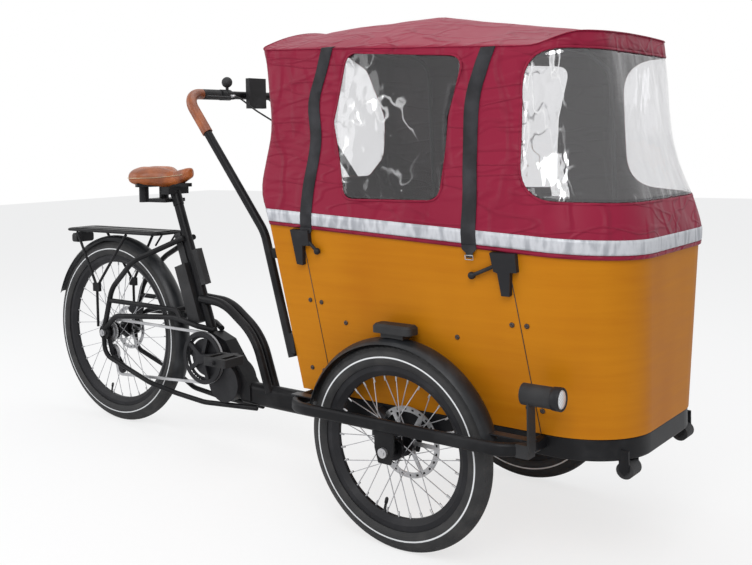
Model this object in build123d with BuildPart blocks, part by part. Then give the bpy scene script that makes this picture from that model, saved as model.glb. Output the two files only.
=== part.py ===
from build123d import *
import math
import os

# An electric cargo trike with a wooden box, a rain canopy and a rear-wheel chain drive.
# Millimetres. +X points forward, +Y to the rider's left and +Z up. The ground is at
# Z = 0, and the origin is below the middle of the vehicle's length and width.

os.makedirs("parts", exist_ok=True)

# Driving dimensions
wheelbase = 1434.0
track = 676.0
front_tyre_radius = 255.0
front_tyre_width = 51.0
rear_tyre_radius = 335.0
rear_tyre_width = 53.0
running_gap = 0.3
cut_overrun = 20.0
rear_guard_gap = 13.0
rear_guard_width = 64.0
rear_guard_sheet = 2.5
box_front_reach = 553.0

# The middle of the length is the origin, so both ends fix where the front axle is.
rear_reach = wheelbase + rear_tyre_radius
front_axle_x = (rear_reach - box_front_reach) / 2
rear_axle_x = front_axle_x - wheelbase
wheel_y = track / 2

SIDES = {"right": -1, "left": 1}


def tube(points, bend, radius, bore=0.0):
    """Add a round tube along bent straight runs to the part being built.

    Args:
        points: corners of the tube's centre line.
        bend: radius of each bend, or a list with one radius for each inner corner.
        radius: outer radius of the tube.
        bore: inner radius, or zero for a solid bar.
    """
    with BuildLine() as path:
        if len(points) > 2:
            FilletPolyline(*points, radius=bend)
        else:
            Line(*points)
    with BuildSketch(Plane(origin=path.line @ 0, z_dir=path.line % 0)) as section:
        Circle(radius)
        if bore:
            Circle(bore, mode=Mode.SUBTRACT)
    sweep(section.sketch, path=path.line)


def bar(points, bends, width, height, corner):
    """Add a bar of rounded rectangular section along a level bent line to the part being built.

    Args:
        points: corners of the bar's centre line.
        bends: radius of each bend.
        width: level width of the section.
        height: upright height of the section.
        corner: radius of the section's corners.
    """
    with BuildLine() as path:
        FilletPolyline(*points, radius=bends)
    plane = Plane(origin=path.line @ 0, x_dir=(0, 0, 1), z_dir=path.line % 0)
    with BuildSketch(plane) as section:
        RectangleRounded(height, width, corner)
    sweep(section.sketch, path=path.line)


def disc(centre, radius, y_from, y_to, bore=0.0, mode=Mode.ADD):
    """Add a round disc or ring whose axis lies along Y to the part being built.

    Args:
        centre: the X and Z of the axis.
        radius: outer radius.
        y_from: where the disc starts along Y.
        y_to: where it ends.
        bore: radius of the hole, or zero.
        mode: whether the disc is added or cut away.
    """
    plane = Plane(origin=(centre[0], y_from, centre[1]), x_dir=(1, 0, 0), z_dir=(0, 1, 0))
    with BuildSketch(plane) as section:
        Circle(radius)
        if bore:
            Circle(bore, mode=Mode.SUBTRACT)
    extrude(section.sketch, amount=y_to - y_from, mode=mode)


def side_plate(points, y_from, y_to, corner=0.0, mode=Mode.ADD):
    """Add a flat plate drawn in side view and run along Y to the part being built.

    Args:
        points: corners as X and Z.
        y_from: where the plate starts along Y.
        y_to: where it ends.
        corner: radius that rounds every corner, or zero.
        mode: whether the plate is added or cut away.
    """
    plane = Plane(origin=(0, y_from, 0), x_dir=(1, 0, 0), z_dir=(0, -1, 0))
    with BuildSketch(plane) as section:
        with BuildLine() as outline:
            Polyline(*points, close=True)
        make_face(outline.edges())
        if corner:
            fillet(section.vertices(), corner)
    extrude(section.sketch, amount=y_from - y_to, mode=mode)


def keep(part, name):
    """Label a finished piece and write it to its own STEP file.

    Args:
        part: the piece.
        name: its node name.
    """
    part.label = name
    export_step(part, f"parts/{name}.step")


# Wheels: the columns are outer radius, tyre width, bead radius, rim depth, rim width,
# hub flange radius, flange spread on the brake side and on the other side, spoke count,
# and brake disc radius.
tyre_wall_share = 0.74
bead_share = 0.46
front_bead_radius = 203.0
rear_bead_radius = 279.5
rim_depth = 28.0
rim_width = 32.0
rim_wall_height = 6.0
rim_nose_share = 0.34
front_flange_radius = 29.0
rear_flange_radius = 33.0
front_flange_spread = 22.0
rear_flange_spread = 28.0
flange_thickness = 3.6
hub_barrel_radius = 17.0
rear_hub_barrel_radius = 22.0
axle_radius = 6.0
axle_bore_clearance = 0.05
spoke_thickness = 1.8
spoke_count = 32
spoke_cross_share = 0.17
spoke_offset = 2.1
spoke_hole_inset = 4.0
front_disc_radius = 90.0
rear_disc_radius = 80.0
disc_thickness = 2.0
disc_band = 14.0
disc_arm_count = 6
disc_arm_width = 11.0
disc_hub_radius = 24.0
rear_disc_offset = 47.0


def wheel_plane(x, y):
    """Return the plane in which a wheel's cross-section is drawn, out from its axle."""
    return Plane(origin=(x, y, 0), x_dir=(0, 1, 0), z_dir=(1, 0, 0))


def tyre(name, x, y, radius, width, bead):
    """Make a tyre whose bead sits on its rim.

    Args:
        name: node name.
        x: the axle's X.
        y: the wheel's middle plane.
        radius: outer radius, which is also the axle's height.
        width: width of the tyre.
        bead: radius of the rim's seat.
    """
    half = width / 2
    seat = bead + running_gap
    bulge = seat + (radius - seat) * bead_share
    with BuildPart() as piece:
        with BuildSketch(wheel_plane(x, y)) as section:
            with BuildLine() as outline:
                Polyline(
                    (-half * tyre_wall_share, radius + seat),
                    (half * tyre_wall_share, radius + seat),
                )
                ThreePointArc(
                    (half * tyre_wall_share, radius + seat),
                    (half, radius + bulge),
                    (half * tyre_wall_share, radius + seat + (radius - seat) * tyre_wall_share),
                )
                ThreePointArc(
                    (half * tyre_wall_share, radius + seat + (radius - seat) * tyre_wall_share),
                    (0, radius + radius),
                    (-half * tyre_wall_share, radius + seat + (radius - seat) * tyre_wall_share),
                )
                ThreePointArc(
                    (-half * tyre_wall_share, radius + seat + (radius - seat) * tyre_wall_share),
                    (-half, radius + bulge),
                    (-half * tyre_wall_share, radius + seat),
                )
            make_face(outline.edges())
        revolve(section.sketch, axis=Axis((x, y, radius), (0, 1, 0)))
    keep(piece.part, name)


def rim(name, x, y, height, bead):
    """Make a deep rim with a seat for the tyre and a nose towards the hub.

    Args:
        name: node name.
        x: the axle's X.
        y: the wheel's middle plane.
        height: the axle's height.
        bead: radius of the tyre's seat.
    """
    half = rim_width / 2
    nose = half * rim_nose_share
    with BuildPart() as piece:
        with BuildSketch(wheel_plane(x, y)) as section:
            with BuildLine() as outline:
                Polyline(
                    (-half, height + bead),
                    (half, height + bead),
                    (half, height + bead - rim_depth / 2),
                    (nose, height + bead - rim_depth),
                    (-nose, height + bead - rim_depth),
                    (-half, height + bead - rim_depth / 2),
                    close=True,
                )
            make_face(outline.edges())
        revolve(section.sketch, axis=Axis((x, y, height), (0, 1, 0)))
    keep(piece.part, name)


def spoke(x, y, height, angle, lead, side, inner, outer, flange, spread):
    """Add one square spoke from a hub flange to the rim to the part being built.

    Args:
        x: the axle's X.
        y: the wheel's middle plane.
        height: the axle's height.
        angle: where the spoke meets the rim, in degrees.
        lead: the share of a turn by which its hub end leads or trails.
        side: 1 or -1, for the flange it comes from.
        inner: radius of its hub end.
        outer: radius of its rim end.
        flange: how far the flange stands from the middle plane.
        spread: how far the spoke's hub end stands off the flange's middle.
    """
    hub_turn = math.radians(angle) + lead * math.tau
    rim_turn = math.radians(angle)
    start = Vector(
        x + inner * math.cos(hub_turn),
        y + side * (flange + spread),
        height + inner * math.sin(hub_turn),
    )
    end = Vector(x + outer * math.cos(rim_turn), y, height + outer * math.sin(rim_turn))
    with BuildSketch(Plane(origin=start, x_dir=(0, 1, 0), z_dir=end - start)) as section:
        Rectangle(spoke_thickness, spoke_thickness)
    extrude(section.sketch, amount=(end - start).length)


def hub(name, x, y, height, bead, flange_radius, spread, barrel, half_axle, bore):
    """Make a hub with two flanges and the spokes laced into it.

    Args:
        name: node name.
        x: the axle's X.
        y: the wheel's middle plane.
        height: the axle's height.
        bead: radius of the rim's tyre seat.
        flange_radius: radius of the hub flanges.
        spread: distance from the middle plane to each flange.
        barrel: radius of the hub between the flanges.
        half_axle: half the length of the hub over its end caps.
        bore: radius of the hole that turns on the axle.
    """
    with BuildPart() as piece:
        disc((x, height), barrel, y - half_axle, y + half_axle)
        for side in (-1, 1):
            middle = y + side * spread
            disc((x, height), flange_radius, middle - flange_thickness / 2, middle + flange_thickness / 2)
        disc((x, height), bore, y - half_axle - cut_overrun, y + half_axle + cut_overrun, mode=Mode.SUBTRACT)
        inner = flange_radius + running_gap + spoke_thickness / 2
        outer = bead - rim_depth - running_gap - spoke_thickness / 2
        for index in range(spoke_count):
            side = 1 if index % 2 else -1
            lead = spoke_cross_share if (index // 2) % 2 else -spoke_cross_share
            spread_out = spoke_offset if (index // 2) % 2 else -spoke_offset
            angle = 360 * index / spoke_count
            spoke(x, y, height, angle, lead, side, inner, outer, spread, spread_out)
    keep(piece.part, name)


def brake_disc(name, x, y, height, radius, bore):
    """Make a brake disc: a band carried by arms on a small hub.

    Args:
        name: node name.
        x: the axle's X.
        y: the disc's middle plane.
        height: the axle's height.
        radius: outer radius of the band.
        bore: radius of the hole round the axle.
    """
    y_from = y - disc_thickness / 2
    y_to = y + disc_thickness / 2
    reach = radius - disc_band / 2
    with BuildPart() as piece:
        disc((x, height), radius, y_from, y_to, bore=radius - disc_band)
        disc((x, height), disc_hub_radius, y_from, y_to)
        plane = Plane(origin=(x, y_from, height), x_dir=(1, 0, 0), z_dir=(0, 1, 0))
        with BuildSketch(plane) as arms:
            with PolarLocations(reach / 2, disc_arm_count):
                Rectangle(reach, disc_arm_width)
        extrude(arms.sketch, amount=disc_thickness)
        disc((x, height), bore, y_from - cut_overrun, y_to + cut_overrun, mode=Mode.SUBTRACT)
    keep(piece.part, name)


front_hub_half = 45.0
rear_hub_half = 58.0
hub_bore = axle_radius + axle_bore_clearance
front_disc_offset = front_hub_half + running_gap + disc_thickness / 2

for side_name, side in SIDES.items():
    y = side * wheel_y
    tyre(f"tyre_{side_name}", front_axle_x, y, front_tyre_radius, front_tyre_width, front_bead_radius)
    rim(f"rim_{side_name}", front_axle_x, y, front_tyre_radius, front_bead_radius)
    hub(
        f"hub_{side_name}", front_axle_x, y, front_tyre_radius, front_bead_radius,
        front_flange_radius, front_flange_spread, hub_barrel_radius, front_hub_half, hub_bore,
    )
    brake_disc(
        f"brake_disc_{side_name}", front_axle_x, y - side * front_disc_offset, front_tyre_radius,
        front_disc_radius, hub_bore,
    )

tyre("tyre_rear", rear_axle_x, 0, rear_tyre_radius, rear_tyre_width, rear_bead_radius)
rim("rim_rear", rear_axle_x, 0, rear_tyre_radius, rear_bead_radius)
hub(
    "hub_rear", rear_axle_x, 0, rear_tyre_radius, rear_bead_radius,
    rear_flange_radius, rear_flange_spread, rear_hub_barrel_radius, rear_hub_half, hub_bore,
)
brake_disc(
    "brake_disc_rear", rear_axle_x, rear_disc_offset, rear_tyre_radius,
    rear_disc_radius, rear_hub_barrel_radius + running_gap,
)

# Rear frame, drawn in side view. Places are shares of the wheelbase: X forward from the
# rear axle, Z up from the ground.
frame_tube_radius = 17.0
seat_tube_top_share = (0.2315, 0.5615)
seat_tube_foot_share = (0.338, 0.256)
stay_tube_radius = 9.5
lower_stay_radius = 8.5
stay_y = 76.0
stay_joint_y = 24.0
beam_height = 74.0
beam_width = 46.0
beam_centre_z = 198.0
beam_length = 542.0
pivot_setback = 270.0
pivot_x = front_axle_x - pivot_setback
beam_rear_x = pivot_x - beam_length
gooseneck_radius = 14.0
gooseneck_y = 17.0
sleeve_radius = 34.0
sleeve_bottom = 150.0
sleeve_top = 290.0
pivot_pin_radius = 20.0
pivot_clearance = 0.1
crank_reach_ahead = 484.0
crank_x = rear_axle_x + crank_reach_ahead
crank_z = 300.0
motor_case_radius = 62.0
motor_lobe_radius = 66.0
motor_lobe_ahead = 78.0
motor_lobe_x = crank_x + motor_lobe_ahead
motor_lobe_z = 226.0
motor_right_half = 43.0
motor_left_half = 52.0
bracket_half_width = 27.0
bracket_end_half = 22.0
crank_spindle_radius = 10.0
crank_spindle_clearance = 0.1
axle_plate_thickness = 6.0
axle_plate_radius = 26.0
nut_radius = 12.0
nut_length = 9.0


def side_point(share):
    """Return the X and Z of a place given as shares of the wheelbase."""
    return (rear_axle_x + share[0] * wheelbase, share[1] * wheelbase)


def path_points(shares, y_values):
    """Return the 3-D points of a tube drawn in side view.

    Args:
        shares: places as shares of the wheelbase.
        y_values: the Y of each place.
    """
    return [(side_point(share)[0], y, side_point(share)[1]) for share, y in zip(shares, y_values)]


seat_foot = side_point(seat_tube_foot_share)
seat_top = side_point(seat_tube_top_share)
seat_direction = Vector(seat_top[0] - seat_foot[0], 0, seat_top[1] - seat_foot[1]).normalized()


def on_seat_tube(distance, ahead=0.0):
    """Return the X and Z of a place on the seat tube.

    Args:
        distance: how far up from its foot.
        ahead: how far forward of its centre line, square to it.
    """
    return (
        seat_foot[0] + seat_direction.X * distance + seat_direction.Z * ahead,
        seat_foot[1] + seat_direction.Z * distance - seat_direction.X * ahead,
    )


seat_tube_length = math.dist(seat_foot, seat_top)
gooseneck_shares = [(0.310, 0.342), (0.385, 0.338), (0.478, 0.272), (0.518, 0.150)]
gooseneck_bends = [160.0, 200.0]

with BuildPart() as main_frame:
    with BuildSketch(Plane(origin=(seat_foot[0], 0, seat_foot[1]), z_dir=seat_direction)) as seat_section:
        Circle(frame_tube_radius)
    extrude(seat_section.sketch, amount=seat_tube_length)
    beam_plane = Plane(origin=(beam_rear_x, 0, beam_centre_z), x_dir=(0, 1, 0), z_dir=(1, 0, 0))
    with BuildSketch(beam_plane) as beam_section:
        SlotOverall(beam_height, beam_width, rotation=90)
    extrude(beam_section.sketch, amount=pivot_x - beam_rear_x)
    with BuildSketch(Plane.XY.offset(sleeve_bottom)) as sleeve_section:
        with Locations((pivot_x, 0)):
            Circle(sleeve_radius)
    extrude(sleeve_section.sketch, amount=sleeve_top - sleeve_bottom)
    # The bracket arches over the motor from the seat tube to the beam.
    side_plate(
        [
            (seat_foot[0] - frame_tube_radius, seat_foot[1]),
            (seat_foot[0] + frame_tube_radius, seat_foot[1] + frame_tube_radius),
            (motor_lobe_x, crank_z + motor_case_radius),
            (beam_rear_x + beam_width, beam_centre_z + bracket_end_half),
            (beam_rear_x + beam_width, beam_centre_z - bracket_end_half),
            (motor_lobe_x, motor_lobe_z),
            (crank_x, crank_z),
        ],
        -bracket_half_width, bracket_half_width,
    )
    for y in (-gooseneck_y, gooseneck_y):
        tube(path_points(gooseneck_shares, [y] * len(gooseneck_shares)), gooseneck_bends, gooseneck_radius)
    with BuildSketch(Plane.XY.offset(sleeve_bottom - cut_overrun)) as pivot_bore:
        with Locations((pivot_x, 0)):
            Circle(pivot_pin_radius + pivot_clearance)
    extrude(pivot_bore.sketch, amount=sleeve_top - sleeve_bottom + 2 * cut_overrun, mode=Mode.SUBTRACT)
    # The motor's pocket
    for centre, radius in (
        ((crank_x, crank_z), motor_case_radius),
        ((motor_lobe_x, motor_lobe_z), motor_lobe_radius),
    ):
        disc(
            centre, radius + running_gap,
            -motor_right_half - cut_overrun, motor_left_half + cut_overrun, mode=Mode.SUBTRACT,
        )
keep(main_frame.part, "main_frame")

# Stays on each side: each row is a tube's places in side view, its Y shares from the
# wheel's side to the seat tube, its bend radius and whether it is a lower stay.
seat_stay_shares = [(0.000, 0.244), (0.034, 0.349), (0.118, 0.424), (0.262, 0.484)]
mid_stay_shares = [(0.026, 0.318), (0.150, 0.318), (0.248, 0.312), (0.262, 0.286)]
chain_stay_shares = [(0.004, 0.244), (0.046, 0.280), (0.240, 0.294), (0.316, 0.280), (0.352, 0.272)]
lower_stay_shares = [
    (-0.003, 0.224), (0.000, 0.177), (0.165, 0.128), (0.235, 0.110), (0.330, 0.102), (0.478, 0.108),
]
bridge_share = (0.245, 0.312)
seat_stay_spread = [1.0, 1.0, 1.0, 0.32]
mid_stay_spread = [1.0, 1.0, 0.62, 0.60]
chain_stay_spread = [1.0, 1.0, 0.60, 0.58, 0.25]
lower_stay_spread = [1.0, 1.0, 0.95, 0.60, 0.55, 0.20]
stay_rows = [
    (seat_stay_shares, seat_stay_spread, [110.0, 150.0], stay_tube_radius),
    (mid_stay_shares, mid_stay_spread, [90.0, 24.0], lower_stay_radius),
    (chain_stay_shares, chain_stay_spread, [50.0, 120.0, 20.0], stay_tube_radius),
    (lower_stay_shares, lower_stay_spread, [48.0, 120.0, 120.0, 150.0], lower_stay_radius),
]
for side_name, side in SIDES.items():
    with BuildPart() as stays:
        for shares, y_shares, bends, radius in stay_rows:
            tube(path_points(shares, [side * stay_y * share for share in y_shares]), bends, radius)
        bridge = side_point(bridge_share)
        bridge_y = side * stay_y * mid_stay_spread[-1]
        tube(
            [(bridge[0], bridge_y, bridge[1]), (bridge[0], side * running_gap / 2, bridge[1])],
            0, lower_stay_radius,
        )
        plate_y = side * stay_y
        disc(
            (rear_axle_x, rear_tyre_radius), axle_plate_radius,
            plate_y - axle_plate_thickness / 2, plate_y + axle_plate_thickness / 2,
        )
        disc(
            (rear_axle_x, rear_tyre_radius), axle_radius + axle_bore_clearance,
            plate_y - cut_overrun, plate_y + cut_overrun, mode=Mode.SUBTRACT,
        )
        for y_from in (plate_y + axle_plate_thickness / 2, plate_y - axle_plate_thickness / 2 - cut_overrun):
            disc(
                (rear_axle_x, rear_tyre_radius), nut_radius + 2 * running_gap,
                y_from, y_from + cut_overrun, mode=Mode.SUBTRACT,
            )
        add(main_frame.part, mode=Mode.SUBTRACT)
        disc(
            (crank_x, crank_z), motor_case_radius + running_gap,
            -motor_right_half - running_gap, motor_left_half + running_gap, mode=Mode.SUBTRACT,
        )
        disc(
            (motor_lobe_x, motor_lobe_z), motor_lobe_radius + running_gap,
            -motor_right_half - running_gap, motor_left_half + running_gap, mode=Mode.SUBTRACT,
        )
    keep(stays.part, f"stays_{side_name}")

# The rear axle runs through the hub and both plates, with a nut at each end.
rear_axle_half = 92.0
with BuildPart() as rear_axle:
    centre = (rear_axle_x, rear_tyre_radius)
    disc(centre, axle_radius, -rear_axle_half, rear_axle_half)
    for side in SIDES.values():
        inner = side * (stay_y + axle_plate_thickness / 2 + running_gap)
        disc(centre, nut_radius, min(inner, inner + side * nut_length), max(inner, inner + side * nut_length))
        collar = side * (rear_hub_half + running_gap)
        outer = side * (stay_y - axle_plate_thickness / 2 - running_gap)
        disc(centre, nut_radius, min(collar, outer), max(collar, outer))
keep(rear_axle.part, "rear_axle")

with BuildPart() as drive_unit:
    disc((crank_x, crank_z), motor_case_radius, -motor_right_half, motor_left_half)
    disc((motor_lobe_x, motor_lobe_z), motor_lobe_radius, -motor_right_half, motor_left_half)
    disc(
        (crank_x, crank_z), crank_spindle_radius + crank_spindle_clearance,
        -motor_right_half - cut_overrun, motor_left_half + cut_overrun, mode=Mode.SUBTRACT,
    )
keep(drive_unit.part, "drive_unit")

# The battery is clipped behind the seat tube, with a lock rail above it and a cover ahead.
battery_depth = 52.0
battery_half_width = 31.0
battery_bottom = 56.0
battery_top = 262.0
battery_corner = 10.0
rail_depth = 30.0
rail_top = 372.0
rail_half_width = 14.0
cover_depth = 22.0
cover_bottom = 172.0
cover_top = 296.0
seat_gap = frame_tube_radius + running_gap
with BuildPart() as battery:
    for bottom, top, near, far, half_width in (
        (battery_bottom, battery_top, -seat_gap - battery_depth, -seat_gap, battery_half_width),
        (battery_top, rail_top, -seat_gap - rail_depth, -seat_gap, rail_half_width),
    ):
        side_plate(
            [
                on_seat_tube(bottom, near), on_seat_tube(bottom, far),
                on_seat_tube(top, far), on_seat_tube(top, near),
            ],
            -half_width, half_width,
        )
    side_plate(
        [
            on_seat_tube(cover_bottom, seat_gap), on_seat_tube(cover_bottom, seat_gap + cover_depth),
            on_seat_tube(cover_top, seat_gap + cover_depth), on_seat_tube(cover_top, seat_gap),
        ],
        -rail_half_width, rail_half_width,
    )
    add(main_frame.part, mode=Mode.SUBTRACT)
keep(battery.part, "battery")

# Saddle, its post and its springs
post_radius = 13.6
post_boot_radius = 19.0
post_boot_length = 56.0
saddle_nose_setback = 1028.0
saddle_nose_x = front_axle_x - saddle_nose_setback
saddle_waist_share = 0.5
saddle_waist_spread_share = 1.7
saddle_shoulder_share = 0.85
saddle_round_share = 0.3
saddle_length = 262.0
saddle_width = 208.0
saddle_nose_width = 48.0
saddle_top_z = 940.0
saddle_thickness = 58.0
saddle_base_thickness = 12.0
saddle_spring_radius = 17.0
saddle_spring_height = 54.0
saddle_spring_spread = 48.0
saddle_spring_ahead = 62.4
saddle_clamp_height = 26.0
saddle_back_x = saddle_nose_x - saddle_length
saddle_bottom_z = saddle_top_z - saddle_thickness


def saddle_outline(grow=0.0):
    """Draw the saddle's plan outline: a broad back that narrows to a round nose."""
    half_back = saddle_width / 2 + grow
    half_nose = saddle_nose_width / 2 + grow
    half_waist = half_nose * saddle_waist_spread_share
    shoulder_x = saddle_back_x + half_back * saddle_shoulder_share
    with BuildLine() as outline:
        Polyline(
            (saddle_nose_x + grow - half_nose, half_nose),
            (saddle_nose_x - saddle_length * saddle_waist_share, half_waist),
            (shoulder_x, half_back),
        )
        ThreePointArc(
            (shoulder_x, half_back),
            (saddle_back_x - grow, 0),
            (shoulder_x, -half_back),
        )
        Polyline(
            (shoulder_x, -half_back),
            (saddle_nose_x - saddle_length * saddle_waist_share, -half_waist),
            (saddle_nose_x + grow - half_nose, -half_nose),
        )
        ThreePointArc(
            (saddle_nose_x + grow - half_nose, -half_nose),
            (saddle_nose_x + grow, 0),
            (saddle_nose_x + grow - half_nose, half_nose),
        )
    return outline


with BuildPart() as saddle:
    with BuildSketch(Plane.XY.offset(saddle_bottom_z)) as saddle_section:
        make_face(saddle_outline().edges())
    extrude(saddle_section.sketch, amount=saddle_thickness)
    fillet(saddle.part.faces().sort_by(Axis.Z)[-1].edges(), saddle_thickness * saddle_round_share)
keep(saddle.part, "saddle")

post_foot = on_seat_tube(seat_tube_length + running_gap)
saddle_base_z = saddle_bottom_z - running_gap - saddle_base_thickness
post_run = (saddle_base_z - saddle_clamp_height / 2 - post_foot[1]) / seat_direction.Z
with BuildPart() as seatpost:
    plane = Plane(origin=(post_foot[0], 0, post_foot[1]), z_dir=seat_direction)
    with BuildSketch(plane) as post_section:
        Circle(post_radius)
    extrude(post_section.sketch, amount=post_run)
    with BuildSketch(plane) as boot_section:
        Circle(post_boot_radius)
    extrude(boot_section.sketch, amount=post_boot_length)
    clamp_x = on_seat_tube(seat_tube_length + post_run)[0]
    with Locations((clamp_x, 0, saddle_base_z - saddle_clamp_height / 2)):
        Box(2 * post_boot_radius, 2 * saddle_spring_spread, saddle_clamp_height)
    with BuildSketch(Plane.XY.offset(saddle_base_z)) as base_section:
        make_face(saddle_outline(grow=-saddle_base_thickness).edges())
    extrude(base_section.sketch, amount=saddle_base_thickness)
    for side in SIDES.values():
        spring_x = saddle_back_x + saddle_spring_ahead
        with BuildSketch(Plane.XY.offset(saddle_base_z - saddle_spring_height)) as spring_section:
            with Locations((spring_x, side * saddle_spring_spread)):
                Circle(saddle_spring_radius)
        extrude(spring_section.sketch, amount=saddle_spring_height)
    with Locations((
        (spring_x + clamp_x) / 2, 0, saddle_base_z - saddle_spring_height + saddle_base_thickness / 2,
    )):
        Box(clamp_x - spring_x, 2 * saddle_spring_spread, saddle_base_thickness)
keep(seatpost.part, "seatpost")

# Rear mudguard with two wire stays on each side
guard_start_angle = -24.0
guard_end_angle = 160.0
guard_crown = 15.0


def guard(x, y, height, inner, width, crown, sheet, start, end):
    """Add a crowned wheel guard to the part being built.

    Args:
        x: the axle's X.
        y: the wheel's middle plane.
        height: the axle's height.
        inner: inner radius at the crown.
        width: width between the edges.
        crown: how far the edges lie below the crown.
        sheet: thickness of the sheet.
        start: angle of its front end, in degrees from straight ahead.
        end: angle of its rear end.
    """
    turn = math.radians(start)
    plane = Plane(origin=(x, y, height), x_dir=(0, 1, 0), z_dir=(math.sin(turn), 0, -math.cos(turn)))
    half = width / 2
    low = inner - crown
    with BuildSketch(plane) as section:
        with BuildLine() as outline:
            ThreePointArc((-half, low), (0, inner), (half, low))
            Line((half, low), (half + sheet, low))
            ThreePointArc((half + sheet, low), (0, inner + sheet), (-half - sheet, low))
            Line((-half - sheet, low), (-half, low))
        make_face(outline.edges())
    revolve(section.sketch, axis=Axis((x, y, height), (0, -1, 0)), revolution_arc=end - start)


with BuildPart() as rear_mudguard:
    guard(
        rear_axle_x, 0, rear_tyre_radius, rear_tyre_radius + rear_guard_gap, rear_guard_width,
        guard_crown, rear_guard_sheet, guard_start_angle, guard_end_angle,
    )
keep(rear_mudguard.part, "rear_mudguard")

# Luggage rack, drawn in side view: shares of the wheelbase as for the frame
rack_wire_radius = 5.0
rack_half_width = 68.0
rack_back_share = -0.152
rack_front_share = 0.196
rack_height_share = 0.4915
rack_slat_radius = 3.5
rack_slat_count = 3
rack_slat_spread = 34.0
rack_clamp_share = (-0.014, 0.350)
rack_foot_share = (-0.014, 0.249)
rack_leg_shares = [(-0.106, 0.487), (0.088, 0.487)]
rack_brace_share = (0.170, 0.462)
rack_leg_y = 88.0
rack_back = side_point((rack_back_share, rack_height_share))
rack_front = side_point((rack_front_share, rack_height_share))
rack_clamp = side_point(rack_clamp_share)
rack_foot = side_point(rack_foot_share)
rack_corner = 26.0
rack_block = (34.0, 12.0, 30.0)
rack_deck_half_width = 54.0
rack_deck_sheet = 3.0
rack_deck_inset = 22.0
rack_slot_width = 16.0
rack_slot_spread = 30.0
with BuildPart() as luggage_rack:
    top_z = rack_back[1]
    for side in SIDES.values():
        y = side * rack_half_width
        leg_y = side * rack_leg_y
        tube(
            [
                (rack_front[0], 0, top_z), (rack_front[0], y, top_z),
                (rack_back[0], y, top_z), (rack_back[0], 0, top_z),
            ],
            rack_corner, rack_wire_radius,
        )
        for leg_share in rack_leg_shares:
            leg = side_point(leg_share)
            tube([(leg[0], y, leg[1]), (rack_clamp[0], leg_y, rack_clamp[1])], 0, rack_wire_radius)
        tube([(rack_clamp[0], leg_y, rack_clamp[1]), (rack_foot[0], leg_y, rack_foot[1])], 0, rack_wire_radius)
        brace = side_point(rack_brace_share)
        brace_y = side * rack_slat_spread
        tube([(rack_front[0], brace_y, top_z), (brace[0], brace_y, brace[1])], 0, rack_slat_radius)
    for index in range(rack_slat_count):
        y = rack_slat_spread * (index - 1)
        tube([(rack_back[0], y, top_z), (rack_front[0], y, top_z)], 0, rack_slat_radius)
    for x_share in rack_leg_shares:
        x = side_point(x_share)[0]
        tube([(x, -rack_half_width, top_z), (x, rack_half_width, top_z)], 0, rack_slat_radius)
    for side in SIDES.values():
        with Locations((rack_clamp[0], side * rack_leg_y, rack_clamp[1])):
            Box(*rack_block)
    deck_length = rack_front[0] - rack_back[0] - 2 * rack_deck_inset
    with BuildSketch(Plane.XY.offset(top_z)) as deck:
        with Locations(((rack_front[0] + rack_back[0]) / 2, 0)):
            RectangleRounded(deck_length, 2 * rack_deck_half_width, rack_corner / 2)
        for y in (-rack_slot_spread, rack_slot_spread):
            with Locations(((rack_front[0] + rack_back[0]) / 2, y)):
                SlotOverall(deck_length - 2 * rack_corner, rack_slot_width, mode=Mode.SUBTRACT)
    extrude(deck.sketch, amount=rack_slat_radius + rack_deck_sheet)
keep(luggage_rack.part, "luggage_rack")

lamp_width = 84.0
lamp_depth = 26.0
lamp_height = 34.0
lamp_drop = 12.0
lamp_corner = 10.0
lamp_neck_width = 28.0
with BuildPart() as tail_lamp:
    lamp_top = top_z - rack_wire_radius - lamp_drop
    with Locations((rack_back[0] + lamp_depth / 2, 0, lamp_top - lamp_height / 2)):
        Box(lamp_depth, lamp_width, lamp_height)
    fillet(tail_lamp.part.edges().filter_by(Axis.X), lamp_corner)
    with Locations((rack_back[0] + lamp_depth / 2, 0, lamp_top + lamp_drop / 2 - running_gap)):
        Box(lamp_depth / 2, lamp_neck_width, lamp_drop)
keep(tail_lamp.part, "tail_lamp")

# Chain drive: the chain leaves the chainring, turns round the cogs, and doubles back over
# the derailleur's two pulleys. Its loop is drawn as arcs joined by their tangents.
chain_y = -50.0
chain_width = 8.0
chain_half_height = 4.5
chainring_radius = 79.0
cog_radius = 44.0
pulley_radius = 19.0
tooth_gap = 0.6
upper_pulley_ahead = 22.0
upper_pulley_drop = 74.0
lower_pulley_ahead = 66.0
lower_pulley_drop = 126.0
upper_pulley = (rear_axle_x + upper_pulley_ahead, rear_tyre_radius - upper_pulley_drop)
lower_pulley = (rear_axle_x + lower_pulley_ahead, rear_tyre_radius - lower_pulley_drop)
cassette_rows = [(44.0, -50.0), (39.0, -44.0), (34.0, -38.0)]
cog_thickness = 3.0
tooth_depth = 3.4
chainring_teeth = 42
cog_teeth = 24
chainring_thickness = 3.0


def tangent(centre_a, radius_a, centre_b, radius_b, cross=False, flip=False):
    """Return the two touching points of a line that is tangent to two circles.

    Args:
        centre_a: first centre as X and Z.
        radius_a: first radius.
        centre_b: second centre.
        radius_b: second radius.
        cross: whether the line crosses between the circles.
        flip: whether it runs on the other side.
    """
    gap = Vector(centre_b[0] - centre_a[0], centre_b[1] - centre_a[1])
    heading = math.atan2(gap.Y, gap.X)
    sign = -1 if flip else 1
    reach = radius_a + radius_b if cross else radius_a - radius_b
    turn = heading + sign * math.acos(reach / gap.length)
    point_a = (centre_a[0] + radius_a * math.cos(turn), centre_a[1] + radius_a * math.sin(turn))
    if cross:
        turn += math.pi
    point_b = (centre_b[0] + radius_b * math.cos(turn), centre_b[1] + radius_b * math.sin(turn))
    return point_a, point_b


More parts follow.
